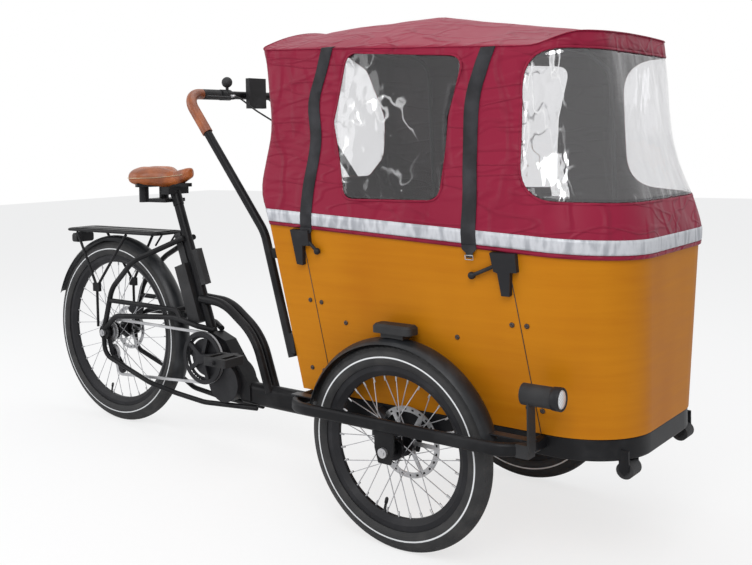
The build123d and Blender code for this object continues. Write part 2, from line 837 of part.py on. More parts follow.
def arc_middle(centre, radius, start, end, clockwise):
    """Return the middle point of an arc from start to end about a centre."""
    first = math.atan2(start[1] - centre[1], start[0] - centre[0])
    last = math.atan2(end[1] - centre[1], end[0] - centre[0])
    if clockwise:
        while last > first:
            last -= math.tau
    else:
        while last < first:
            last += math.tau
    middle = (first + last) / 2
    return (centre[0] + radius * math.cos(middle), centre[1] + radius * math.sin(middle))


def chain_outline(grow):
    """Draw the chain loop's outline, moved outwards by a distance.

    Args:
        grow: how far outside the chain's own line, or a negative distance inside it.
    """
    seat = chain_half_height + tooth_gap
    ring = chainring_radius + seat + grow
    cog = cog_radius + seat + grow
    lower = pulley_radius + seat + grow
    upper = pulley_radius + seat - grow
    centres = {
        "ring": (crank_x, crank_z), "cog": (rear_axle_x, rear_tyre_radius),
        "upper": upper_pulley, "lower": lower_pulley,
    }
    ring_top, cog_top = tangent(centres["ring"], ring, centres["cog"], cog, flip=True)
    cog_low, upper_high = tangent(centres["cog"], cog, centres["upper"], upper, cross=True, flip=True)
    upper_low, lower_high = tangent(centres["upper"], upper, centres["lower"], lower, cross=True)
    lower_low, ring_low = tangent(centres["lower"], lower, centres["ring"], ring, flip=True)
    with BuildLine() as outline:
        Line(ring_top, cog_top)
        ThreePointArc(cog_top, arc_middle(centres["cog"], cog, cog_top, cog_low, False), cog_low)
        Line(cog_low, upper_high)
        ThreePointArc(upper_high, arc_middle(centres["upper"], upper, upper_high, upper_low, True), upper_low)
        Line(upper_low, lower_high)
        ThreePointArc(lower_high, arc_middle(centres["lower"], lower, lower_high, lower_low, False), lower_low)
        Line(lower_low, ring_low)
        ThreePointArc(ring_low, arc_middle(centres["ring"], ring, ring_low, ring_top, False), ring_top)
    return outline


chain_plane = Plane(origin=(0, chain_y + chain_width / 2, 0), x_dir=(1, 0, 0), z_dir=(0, -1, 0))
with BuildPart() as chain:
    with BuildSketch(chain_plane) as chain_section:
        make_face(chain_outline(chain_half_height).edges())
        make_face(chain_outline(-chain_half_height).edges(), mode=Mode.SUBTRACT)
    extrude(chain_section.sketch, amount=chain_width)
keep(chain.part, "chain")


def toothed(centre, tip_radius, teeth, y_from, y_to, bore):
    """Add a toothed wheel whose axis lies along Y to the part being built.

    Args:
        centre: the X and Z of the axis.
        tip_radius: radius over the teeth.
        teeth: how many teeth it has.
        y_from: where it starts along Y.
        y_to: where it ends.
        bore: radius of its hole.
    """
    points = []
    for index in range(2 * teeth):
        turn = math.tau * index / (2 * teeth)
        radius = tip_radius if index % 2 else tip_radius - tooth_depth
        points.append((radius * math.cos(turn), radius * math.sin(turn)))
    plane = Plane(origin=(centre[0], y_from, centre[1]), x_dir=(1, 0, 0), z_dir=(0, 1, 0))
    with BuildSketch(plane) as section:
        with BuildLine() as outline:
            Polyline(*points, close=True)
        make_face(outline.edges())
        Circle(bore, mode=Mode.SUBTRACT)
    extrude(section.sketch, amount=y_to - y_from)


rear_centre = (rear_axle_x, rear_tyre_radius)
cog_seat = rear_hub_barrel_radius + running_gap
cassette_inner_y = -34.0
cassette_outer_y = -54.0
cassette_core_radius = 27.0
with BuildPart() as cassette:
    disc(rear_centre, cassette_core_radius, cassette_outer_y, cassette_inner_y, bore=cog_seat)
    for radius, y in cassette_rows:
        toothed(rear_centre, radius, cog_teeth, y - cog_thickness / 2, y + cog_thickness / 2, cog_seat)
keep(cassette.part, "cassette")

# Derailleur: two pulleys between cage plates, carried by a hanger round the axle
cage_plate = 2.0
cage_radius = 11.0
pulley_thickness = 6.0
pulley_pin_radius = 4.0
hanger_thickness = 4.5
hanger_width = 20.0
hanger_y = -60.5
cage_gap = chain_width / 2 + tooth_gap
with BuildPart() as derailleur:
    for centre in (upper_pulley, lower_pulley):
        disc(centre, pulley_radius, chain_y - pulley_thickness / 2, chain_y + pulley_thickness / 2)
        disc(centre, pulley_pin_radius, chain_y - cage_gap - cage_plate, chain_y + cage_gap + cage_plate)
    along = Vector(lower_pulley[0] - upper_pulley[0], 0, lower_pulley[1] - upper_pulley[1])
    across = along.normalized().rotate(Axis.Y, 90) * cage_radius
    cage_corners = [
        (upper_pulley[0] + across.X, upper_pulley[1] + across.Z),
        (lower_pulley[0] + across.X, lower_pulley[1] + across.Z),
        (lower_pulley[0] - across.X, lower_pulley[1] - across.Z),
        (upper_pulley[0] - across.X, upper_pulley[1] - across.Z),
    ]
    for y_from in (chain_y - cage_gap - cage_plate, chain_y + cage_gap):
        side_plate(cage_corners, y_from, y_from + cage_plate)
        for centre in (upper_pulley, lower_pulley):
            disc(centre, cage_radius, y_from, y_from + cage_plate)
    hanger_run = Vector(rear_centre[0] - upper_pulley[0], 0, rear_centre[1] - upper_pulley[1])
    beside = hanger_run.normalized().rotate(Axis.Y, 90) * (hanger_width / 2)
    outer_y = hanger_y - hanger_thickness / 2
    inner_y = hanger_y + hanger_thickness / 2
    side_plate(
        [
            (upper_pulley[0] + beside.X, upper_pulley[1] + beside.Z),
            (rear_centre[0] + beside.X, rear_centre[1] + beside.Z),
            (rear_centre[0] - beside.X, rear_centre[1] - beside.Z),
            (upper_pulley[0] - beside.X, upper_pulley[1] - beside.Z),
        ],
        outer_y, inner_y,
    )
    disc(upper_pulley, hanger_width / 2, outer_y, chain_y - cage_gap)
    disc(rear_centre, nut_radius + hanger_thickness, outer_y, inner_y)
    disc(
        rear_centre, nut_radius + running_gap,
        outer_y - cut_overrun, inner_y + cut_overrun, mode=Mode.SUBTRACT,
    )
keep(derailleur.part, "derailleur")

# Brake calipers: a block that straddles the disc, on a foot that reaches its frame
caliper_length = 46.0
caliper_height = 38.0
caliper_width = 30.0
caliper_slot = 5.0
caliper_bite = 16.0
caliper_corner = 7.6


def caliper(centre, disc_y, radius, angle):
    """Add one brake caliper that straddles a disc to the part being built.

    Args:
        centre: the X and Z of the axle.
        disc_y: the disc's middle plane.
        radius: the disc's radius.
        angle: where the caliper sits round the disc, in degrees.
    """
    reach = radius - caliper_bite + caliper_height / 2
    x = centre[0] + reach * math.cos(math.radians(angle))
    z = centre[1] + reach * math.sin(math.radians(angle))
    plane = Plane(
        origin=(x, disc_y - caliper_width / 2, z),
        x_dir=(math.cos(math.radians(angle)), 0, math.sin(math.radians(angle))),
        z_dir=(0, 1, 0),
    )
    with BuildSketch(plane) as body:
        RectangleRounded(caliper_height, caliper_length, caliper_corner)
    extrude(body.sketch, amount=caliper_width)
    disc(
        centre, radius + caliper_slot / 2,
        disc_y - caliper_slot / 2, disc_y + caliper_slot / 2, mode=Mode.SUBTRACT,
    )


rear_caliper_angle = 62.0
with BuildPart() as rear_caliper:
    caliper(rear_centre, rear_disc_offset, rear_disc_radius, rear_caliper_angle)
    add([stays.part, rear_axle.part], mode=Mode.SUBTRACT)
keep(rear_caliper.part, "rear_caliper")

# Cranks and pedals
crank_length = 165.0
crank_angle = 9.0
crank_boss_radius = 17.0
crank_root_half = 13.6
crank_end_radius = 12.0
crank_arm_thickness = 13.0
crank_arm_y = 66.0
guard_ring_radius = 88.0
guard_ring_thickness = 3.0
guard_ring_y = -58.5
guard_ring_width = 14.0
chainring_band = 13.0
spider_arm_count = 5
spider_arm_width = 14.0
pedal_spindle_radius = 7.0
pedal_spindle_length = 112.0
pedal_length = 96.0
pedal_width = 92.0
pedal_height = 26.0
pedal_gap = 6.0
pedal_corner = 7.8
pedal_window_ahead = 27.0
pedal_window_length = 21.0
pedal_window_width = 64.0
pedal_clearance = 0.1
crank_centre = (crank_x, crank_z)
arm_turn = math.radians(crank_angle)
crank_reach = (crank_length * math.cos(arm_turn), crank_length * math.sin(arm_turn))


def pedal_centre(side):
    """Return the X and Z of the pedal on one side; the right crank points forward."""
    return (crank_x - side * crank_reach[0], crank_z - side * crank_reach[1])


with BuildPart() as crankset:
    disc(crank_centre, crank_spindle_radius, -crank_arm_y, crank_arm_y)
    ring_from = chain_y - chainring_thickness / 2
    toothed(
        crank_centre, chainring_radius, chainring_teeth,
        ring_from, ring_from + chainring_thickness, chainring_radius - chainring_band,
    )
    guard_from = guard_ring_y - guard_ring_thickness / 2
    disc(
        crank_centre, guard_ring_radius, guard_from, guard_from + guard_ring_thickness,
        bore=guard_ring_radius - guard_ring_width,
    )
    plane = Plane(origin=(crank_x, guard_from, crank_z), x_dir=(1, 0, 0), z_dir=(0, 1, 0))
    spider_reach = chainring_radius - chainring_band / 2
    with BuildSketch(plane) as spider:
        with PolarLocations(spider_reach / 2, spider_arm_count):
            Rectangle(spider_reach, spider_arm_width)
        Circle(crank_boss_radius)
    extrude(spider.sketch, amount=ring_from + chainring_thickness - guard_from)
    for side in SIDES.values():
        centre = pedal_centre(side)
        near = side * (crank_arm_y - crank_arm_thickness / 2)
        far = side * (crank_arm_y + crank_arm_thickness / 2)
        low, high = min(near, far), max(near, far)
        disc(crank_centre, crank_boss_radius, low, high)
        disc(centre, crank_end_radius, low, high)
        normal = (-math.sin(arm_turn), math.cos(arm_turn))
        side_plate(
            [
                (crank_x + normal[0] * crank_root_half, crank_z + normal[1] * crank_root_half),
                (centre[0] + normal[0] * crank_end_radius, centre[1] + normal[1] * crank_end_radius),
                (centre[0] - normal[0] * crank_end_radius, centre[1] - normal[1] * crank_end_radius),
                (crank_x - normal[0] * crank_root_half, crank_z - normal[1] * crank_root_half),
            ],
            low, high,
        )
        tip = far + side * pedal_spindle_length
        disc(centre, pedal_spindle_radius, min(far, tip), max(far, tip))
keep(crankset.part, "crankset")

for side_name, side in SIDES.items():
    centre = pedal_centre(side)
    near = side * (crank_arm_y + crank_arm_thickness / 2 + pedal_gap)
    with BuildPart() as pedal:
        with Locations((centre[0], near + side * pedal_width / 2, centre[1])):
            Box(pedal_length, pedal_width, pedal_height)
        fillet(pedal.part.edges().filter_by(Axis.Z), pedal_corner)
        for ahead in (-1, 1):
            window_x = centre[0] + ahead * pedal_window_ahead
            with Locations((window_x, near + side * pedal_width / 2, centre[1])):
                Box(pedal_window_length, pedal_window_width, 2 * pedal_height, mode=Mode.SUBTRACT)
        disc(
            centre, pedal_spindle_radius + pedal_clearance,
            min(near, near + side * pedal_spindle_length) - cut_overrun,
            max(near, near + side * pedal_spindle_length) + cut_overrun, mode=Mode.SUBTRACT,
        )
    keep(pedal.part, f"pedal_{side_name}")

# Front frame: a deep band under the box's edge, a hoop round each wheel and the steering
# pin. Its widths follow the track, so that wheels, box and frame keep their clearance.
box_floor_z = 336.0
box_wheel_gap = 61.0
box_floor_half = wheel_y - box_wheel_gap
loop_height = 50.0
loop_width = 22.0
loop_section_corner = 5.0
loop_inset = 13.0
loop_back = 326.0
loop_ahead = 517.0
loop_rear_corner = 40.0
loop_front_corner = 152.0
loop_half = box_floor_half - loop_inset
loop_rear_x = front_axle_x - loop_back
loop_front_x = front_axle_x + loop_ahead
loop_z = box_floor_z - running_gap - loop_height / 2
hoop_height = 30.0
hoop_width = 20.0
hoop_section_corner = 8.0
hoop_drop = 16.3
hoop_spread = 57.0
hoop_back = 314.0
hoop_ahead = 348.0
hoop_corner = 76.0
hoop_z = box_floor_z - hoop_drop
hoop_y = wheel_y + hoop_spread
hoop_rear_x = front_axle_x - hoop_back
hoop_front_x = front_axle_x + hoop_ahead
cross_bar_radius = 12.0
cross_bar_rows = [(156.0, 0.0), (313.0, 0.0), (480.0, 60.0)]
front_plate_thickness = 6.0
front_plate_width = 54.0
front_plate_foot_width = 34.0
front_plate_drop = 28.0
front_plate_shoulder = 8.0
inner_plate_inset = 9.0
inner_plate_y = box_floor_half - inner_plate_inset
pivot_nut_radius = 27.0
pivot_nut_height = 14.0
pivot_nut_gap = 2.0
pivot_beam_width = 64.0
bumper_ahead = 503.0
bumper_y_inset = 86.0
bumper_y = loop_half - bumper_y_inset
bumper_z = 264.0
bumper_radius = 19.0
bumper_half = 25.0
lug_thickness = 5.0
lug_width = 22.0
front_centre = (front_axle_x, front_tyre_radius)
with BuildPart() as front_frame:
    for side in SIDES.values():
        bar(
            [
                (loop_rear_x, 0, loop_z), (loop_rear_x, side * loop_half, loop_z),
                (loop_front_x, side * loop_half, loop_z), (loop_front_x, 0, loop_z),
            ],
            [loop_rear_corner, loop_front_corner], loop_width, loop_height, loop_section_corner,
        )
        inner = side * loop_half
        bar(
            [
                (hoop_rear_x, inner, hoop_z), (hoop_rear_x, side * hoop_y, hoop_z),
                (hoop_front_x, side * hoop_y, hoop_z), (hoop_front_x, inner, hoop_z),
            ],
            [hoop_corner, hoop_corner], hoop_width, hoop_height, hoop_section_corner,
        )
        for plate_y in (hoop_y, inner_plate_y):
            side_plate(
                [
                    (front_axle_x - front_plate_width / 2, hoop_z),
                    (front_axle_x + front_plate_width / 2, hoop_z),
                    (front_axle_x + front_plate_width / 2, front_tyre_radius + front_plate_shoulder),
                    (front_axle_x + front_plate_foot_width / 2, front_tyre_radius - front_plate_drop),
                    (front_axle_x - front_plate_foot_width / 2, front_tyre_radius - front_plate_drop),
                    (front_axle_x - front_plate_width / 2, front_tyre_radius + front_plate_shoulder),
                ],
                side * plate_y - front_plate_thickness / 2, side * plate_y + front_plate_thickness / 2,
            )
        disc(
            front_centre, axle_radius + axle_bore_clearance,
            min(0, side * (hoop_y + cut_overrun)), max(0, side * (hoop_y + cut_overrun)), mode=Mode.SUBTRACT,
        )
        # Lugs that hold a bumper under the band's front
        for reach in (-1, 1):
            lug_y = side * bumper_y + reach * (bumper_half + running_gap + lug_thickness / 2)
            side_plate(
                [
                    (front_axle_x + bumper_ahead - lug_width / 2, loop_z),
                    (front_axle_x + bumper_ahead + lug_width / 2, loop_z),
                    (front_axle_x + bumper_ahead + lug_width / 2, bumper_z),
                    (front_axle_x + bumper_ahead, bumper_z - lug_width / 2),
                    (front_axle_x + bumper_ahead - lug_width / 2, bumper_z),
                ],
                lug_y - lug_thickness / 2, lug_y + lug_thickness / 2,
            )
    for ahead, shorter in cross_bar_rows:
        x = front_axle_x + ahead
        tube([(x, shorter - loop_half, hoop_z), (x, loop_half - shorter, hoop_z)], 0, cross_bar_radius)
    with Locations((pivot_x, 0, hoop_z)):
        Box(pivot_beam_width, 2 * loop_half, 2 * cross_bar_radius)
    nut_top = sleeve_bottom - pivot_nut_gap
    with BuildSketch(Plane.XY.offset(nut_top - pivot_nut_height)) as pin_section:
        with Locations((pivot_x, 0)):
            Circle(pivot_pin_radius)
    extrude(pin_section.sketch, amount=hoop_z - nut_top + pivot_nut_height)
    with BuildSketch(Plane.XY.offset(nut_top - pivot_nut_height)) as nut_section:
        with Locations((pivot_x, 0)):
            RegularPolygon(pivot_nut_radius, 6)
    extrude(nut_section.sketch, amount=pivot_nut_height)
keep(front_frame.part, "front_frame")

with BuildPart() as front_axles:
    for side in SIDES.values():
        inner_face = inner_plate_y + front_plate_thickness / 2
        outer_face = hoop_y - front_plate_thickness / 2
        disc_face = wheel_y - front_disc_offset - disc_thickness / 2
        hub_end = wheel_y + front_hub_half
        nut_face = hoop_y + front_plate_thickness / 2
        axle_over = nut_length + front_plate_thickness
        spans = [
            (axle_radius, inner_plate_y - axle_over, hoop_y + axle_over),
            (nut_radius, inner_face + running_gap, disc_face - running_gap),
            (nut_radius, hub_end + running_gap, outer_face - running_gap),
            (nut_radius, nut_face + running_gap, nut_face + nut_length),
        ]
        for radius, near, far in spans:
            disc(front_centre, radius, min(side * near, side * far), max(side * near, side * far))
keep(front_axles.part, "front_axles")

front_caliper_angle = 150.0
with BuildPart() as front_calipers:
    for side in SIDES.values():
        caliper(front_centre, side * (wheel_y - front_disc_offset), front_disc_radius, front_caliper_angle)
    add(front_frame.part, mode=Mode.SUBTRACT)
keep(front_calipers.part, "front_calipers")

# Box: leaning side panels in two pieces each, a rear panel, a bent front panel and a
# floor in two pieces. The seams between the pieces lean back.
panel = 12.0
panel_gap = 0.6
box_lean = 0.121
box_back_reach = 341.0
box_rear_x = front_axle_x - box_back_reach
box_rear_lean = 0.132
front_seam_ahead = 345.0
rear_seam_back = 237.0
seam_lean = 0.128
box_corner_ahead = 366.0
box_corner_x = front_axle_x + box_corner_ahead
box_front_lean = 0.04
box_rear_top = 815.0
box_top_fall = 50.0
box_front_top = box_rear_top - box_top_fall
floor_sheet = 12.0
canopy_skin = 3.5
canopy_gap = 2.0
canopy_reach = canopy_gap + canopy_skin
box_front_x = front_axle_x + box_front_reach - canopy_reach - box_front_lean * (box_front_top - box_floor_z)


def box_half(z):
    """Return the box's outer half width at a height."""
    return box_floor_half + (z - box_floor_z) * box_lean


def box_back(z):
    """Return the X of the rear panel's outer face at a height."""
    return box_rear_x - (z - box_floor_z) * box_rear_lean


def box_nose(z):
    """Return the X of the front panel's outer face at a height."""
    return box_front_x + (z - box_floor_z) * box_front_lean


def seam(ahead, z):
    """Return the X at a height of a seam that leaves the floor at a distance ahead of the axle."""
    return front_axle_x + ahead - (z - box_floor_z) * seam_lean


lean_angle = math.atan(box_lean)
slope = 1 / math.cos(lean_angle)


def side_face(side, out=0.0):
    """Return the plane of a side panel's outer face; its Y runs up or down the slope.

    Args:
        side: 1 or -1, left or right.
        out: how far outside the face the plane lies.
    """
    return Plane(
        origin=(0, side * (box_floor_half + out * slope), box_floor_z),
        x_dir=(1, 0, 0),
        z_dir=(0, side * math.cos(lean_angle), -math.sin(lean_angle)),
    )


top_slope = box_top_fall / (seam(front_seam_ahead, box_front_top) - box_back(box_rear_top))
rear_seam_top = box_rear_top - top_slope * (seam(-rear_seam_back, box_rear_top) - box_back(box_rear_top))
rear_seam_low_x = seam(-rear_seam_back, box_floor_z)
rear_seam_top_x = seam(-rear_seam_back, rear_seam_top)
side_panels = {
    "box_side": [
        (rear_seam_low_x, box_floor_z), (seam(front_seam_ahead, box_floor_z) - panel_gap, box_floor_z),
        (seam(front_seam_ahead, box_front_top) - panel_gap, box_front_top), (rear_seam_top_x, rear_seam_top),
    ],
    "box_end": [
        (box_rear_x, box_floor_z), (rear_seam_low_x - panel_gap, box_floor_z),
        (rear_seam_top_x - panel_gap, rear_seam_top), (box_back(box_rear_top), box_rear_top),
    ],
}
for side_name, side in SIDES.items():
    rise = -side * slope
    for panel_name, corners in side_panels.items():
        with BuildPart() as side_panel:
            with BuildSketch(side_face(side)) as panel_section:
                with BuildLine() as outline:
                    Polyline(*[(x, rise * (z - box_floor_z)) for x, z in corners], close=True)
                make_face(outline.edges())
            extrude(panel_section.sketch, amount=-panel)
        keep(side_panel.part, f"{panel_name}_{side_name}")

inner_step = panel * slope + panel_gap
with BuildPart() as box_rear:
    back_angle = math.atan(box_rear_lean)
    plane = Plane(
        origin=(box_rear_x, 0, box_floor_z),
        x_dir=(0, 1, 0),
        z_dir=(math.cos(back_angle), 0, math.sin(back_angle)),
    )
    height = (box_rear_top - box_floor_z) / math.cos(back_angle)
    with BuildSketch(plane) as rear_section:
        with BuildLine() as outline:
            Polyline(
                (-box_floor_half + inner_step, 0),
                (box_floor_half - inner_step, 0),
                (box_half(box_rear_top) - inner_step, height),
                (-box_half(box_rear_top) + inner_step, height),
                close=True,
            )
        make_face(outline.edges())
    extrude(rear_section.sketch, amount=panel)
keep(box_rear.part, "box_rear")


def front_band(z):
    """Draw the section at a height of the panel that wraps round the front of the box."""
    half = box_half(z)
    nose = box_nose(z)
    start = seam(front_seam_ahead, z)
    with BuildSketch(Plane.XY.offset(z)) as band:
        for inset, mode in ((0, Mode.ADD), (panel, Mode.SUBTRACT)):
            side_y = half - inset
            front = nose - inset
            radius = front - box_corner_x
            with BuildLine() as outline:
                Polyline((box_corner_x, -side_y), (start, -side_y), (start, side_y), (box_corner_x, side_y))
                RadiusArc((box_corner_x, side_y), (front, side_y - radius), radius)
                Line((front, side_y - radius), (front, radius - side_y))
                RadiusArc((front, radius - side_y), (box_corner_x, -side_y), radius)
            make_face(outline.edges(), mode=mode)
    return band.sketch


with BuildPart() as box_front:
    loft([front_band(box_floor_z), front_band(box_front_top)], ruled=True)
keep(box_front.part, "box_front")

bench_setback = 60.0
bench_front_x = front_axle_x - bench_setback
with BuildPart() as box_floor:
    half = box_floor_half - panel * slope - panel_gap
    nose = box_front_x - panel - panel_gap
    corner = nose - box_corner_x
    back = box_rear_x + panel + panel_gap
    # The load floor ends at the bench, and a second board lies under the bench.
    with BuildSketch(Plane.XY.offset(box_floor_z)) as floor_section:
        with BuildLine() as outline:
            start = bench_front_x + panel_gap
            Polyline((box_corner_x, -half), (start, -half), (start, half), (box_corner_x, half))
            RadiusArc((box_corner_x, half), (nose, half - corner), corner)
            Line((nose, half - corner), (nose, -half + corner))
            RadiusArc((nose, -half + corner), (box_corner_x, -half), corner)
        make_face(outline.edges())
    extrude(floor_section.sketch, amount=floor_sheet)
    with Locations(((back + bench_front_x) / 2, 0, box_floor_z + floor_sheet / 2)):
        Box(bench_front_x - back, 2 * half, floor_sheet)
keep(box_floor.part, "box_floor")

# Bench inside the box, at the back
bench_z = 588.0
bench_sheet = 12.0
bench_cushion = 34.0
bench_back_gap = 3.0
bench_round = 10.2
with BuildPart() as bench:
    half = box_half(box_floor_z + floor_sheet) - panel * slope - panel_gap
    back = box_rear_x + panel * slope + bench_back_gap
    with Locations(((back + bench_front_x) / 2, 0, bench_z + bench_sheet / 2)):
        Box(bench_front_x - back, 2 * half, bench_sheet)
    foot = box_floor_z + floor_sheet + running_gap
    with Locations((bench_front_x - bench_sheet / 2, 0, (foot + bench_z) / 2)):
        Box(bench_sheet, 2 * half, bench_z - foot)
keep(bench.part, "bench")

with BuildPart() as bench_pad:
    with Locations(((back + bench_front_x) / 2, 0, bench_z + bench_sheet + running_gap + bench_cushion / 2)):
        Box(bench_front_x - back, 2 * half, bench_cushion)
    fillet(bench_pad.part.edges(), bench_round)
keep(bench_pad.part, "bench_cushion")

# Rain canopy: a thin shell that rises from its hem to the box's rim, the eaves and the roof
canopy_low_drop = 65.0
canopy_low_z = box_front_top - canopy_low_drop
hem_overlap = 24.0
rim_rise = 4.0
eave_overhang = 20.0
eave_half = box_floor_half + eave_overhang
eave_back = -440.0
eave_front = 466.0
eave_z = 1228.0
eave_lean = 5.6
eave_back_radius = 40.0
eave_front_radius = 120.0
ridge_half = 46.0
ridge_back = -300.0
ridge_front = -30.0
ridge_z = 1332.0
ridge_radius = 30.0
brow_half = 96.0
brow_start = -60.0
brow_length = 500.0
brow_lean = 9.6
brow_radius = 44.0
hem_back_radius = 6.0


def tilted(x, z, lean):
    """Return a plane through (x, 0, z) that sinks forwards by an angle in degrees."""
    turn = math.radians(lean)
    return Plane(
        origin=(x, 0, z),
        x_dir=(math.cos(turn), 0, -math.sin(turn)),
        z_dir=(math.sin(turn), 0, math.cos(turn)),
    )


def round_plan(plane, back, front, half_back, half_front, back_radius, front_radius):
    """Draw a plan outline with rounded corners.

    Args:
        plane: the plane that it lies in.
        back: its rear X.
        front: its front X.
        half_back: its half width at the back.
        half_front: its half width at the front.
        back_radius: radius of the rear corners.
        front_radius: radius of the front corners.
    """
    with BuildSketch(plane) as section:
        with BuildLine() as outline:
            Line((back + back_radius, -half_back), (front - front_radius, -half_front))
            RadiusArc((front - front_radius, -half_front), (front, -half_front + front_radius), -front_radius)
            Line((front, -half_front + front_radius), (front, half_front - front_radius))
            RadiusArc((front, half_front - front_radius), (front - front_radius, half_front), -front_radius)
            Line((front - front_radius, half_front), (back + back_radius, half_back))
            RadiusArc((back + back_radius, half_back), (back, half_back - back_radius), -back_radius)
            Line((back, half_back - back_radius), (back, -half_back + back_radius))
            RadiusArc((back, -half_back + back_radius), (back + back_radius, -half_back), -back_radius)
        make_face(outline.edges())
    return section.sketch


def canopy_body(inset):
    """Return the canopy's closed form, moved inwards from its outer skin by a distance."""
    grow = canopy_reach - inset
    rim_back = box_back(box_rear_top)
    rim_front = box_nose(box_front_top)
    rim_lean = math.atan((box_rear_top - box_front_top) / (rim_front - rim_back))
    run = math.cos(rim_lean)
    low = round_plan(
        Plane.XY.offset(canopy_low_z), box_back(canopy_low_z) - grow, box_nose(canopy_low_z) + grow,
        box_half(canopy_low_z) + grow, box_half(canopy_low_z) + grow,
        hem_back_radius - inset, box_nose(canopy_low_z) - box_corner_x + grow,
    )
    rim_line = round_plan(
        tilted(rim_front, box_front_top + rim_rise, math.degrees(rim_lean)),
        (rim_back - rim_front - grow) / run, grow / run,
        box_half(box_rear_top) + grow, box_half(box_front_top) + grow,
        hem_back_radius - inset, rim_front - box_corner_x + grow,
    )
    eave = round_plan(
        tilted(front_axle_x, eave_z - inset, eave_lean), eave_back + inset, eave_front - inset,
        eave_half - inset, eave_half - inset, eave_back_radius - inset, eave_front_radius - inset,
    )
    ridge = round_plan(
        tilted(front_axle_x, ridge_z - inset, 0), ridge_back, ridge_front,
        ridge_half, ridge_half, ridge_radius, ridge_radius,
    )
    brow = round_plan(
        tilted(front_axle_x + brow_start, ridge_z - inset, brow_lean), 0, brow_length - inset,
        ridge_half, brow_half, ridge_radius, brow_radius,
    )
    with BuildPart() as body:
        loft([low, rim_line], ruled=True)
        loft([rim_line, eave], ruled=True)
        loft([eave, ridge], ruled=True)
        loft([eave, brow], ruled=True)
    return body.part


# Window openings in side view: corners as X and Z, with a radius that rounds them
side_window_places = [
    (-156.0, 1234.0), (176.0, 1201.0), (138.0, 1060.0), (118.0, 862.0), (-150.0, 862.0), (-198.0, 1060.0),
]
side_window_corner = 34.0
front_window_places = [(336.0, 858.0), (336.0, 1178.0), (900.0, 1122.0), (900.0, 858.0)]
front_window_corner = 88.0
window_gap = 0.4
side_window = [(front_axle_x + ahead, z) for ahead, z in side_window_places]
front_window = [(front_axle_x + ahead, z) for ahead, z in front_window_places]


def hem_height(x):
    """Return the height of the canopy's lower edge at an X."""
    along = (x - box_back(box_rear_top)) / (box_nose(box_front_top) - box_back(box_rear_top))
    return box_rear_top + (box_front_top - box_rear_top) * along - hem_overlap


def window_cutter(shrink):
    """Return the solids that cut the side and front windows out of the shell.

    Args:
        shrink: how far inside the opening's edge the cutter stays.
    """
    reach = 2 * box_half(box_rear_top)
    with BuildPart() as cutter:
        side_plate(side_window, -reach, reach, corner=side_window_corner)
        side_plate(front_window, -reach, reach, corner=front_window_corner)
        if shrink:
            offset(amount=-shrink)
    return cutter.part


canopy_outer = canopy_body(0)
canopy_inner = canopy_body(canopy_skin)
hem_back_x = box_back(box_rear_top) - cut_overrun
hem_front_x = box_nose(box_rear_top) + cut_overrun
with BuildPart() as shell:
    add(canopy_outer)
    add(canopy_inner, mode=Mode.SUBTRACT)
    side_plate(
        [
            (hem_back_x, canopy_low_z - cut_overrun), (hem_front_x, canopy_low_z - cut_overrun),
            (hem_front_x, hem_height(hem_front_x)), (hem_back_x, hem_height(hem_back_x)),
        ],
        -box_rear_top, box_rear_top, mode=Mode.SUBTRACT,
    )

with BuildPart() as canopy:
    add(shell.part)
    add(window_cutter(0), mode=Mode.SUBTRACT)
keep(canopy.part, "canopy")

with BuildPart() as canopy_windows:
    add(shell.part)
    add(window_cutter(window_gap), mode=Mode.INTERSECT)
keep(canopy_windows.part, "canopy_windows")

# Bows that carry the canopy, and the latches that hold them at the box's rim
bow_radius = 6.0
bow_foot_drop = 75.0
bow_foot_z = box_front_top - bow_foot_drop
bow_bend = 60.0
bow_roof_gap = 16.0
bow_rear_back = 265.0
bow_front_ahead = 296.0
bow_rear_x = front_axle_x - bow_rear_back
bow_front_x = front_axle_x + bow_front_ahead
bow_rear_eave_z = 1248.0
bow_front_eave_z = 1192.0
bow_rear_ridge_z = 1322.0
bow_front_ridge_z = 1262.0
latch_depth = 14.0
latch_lever_radius = 4.5
latch_ball_radius = 9.0
latch_ball_turn = 90.0
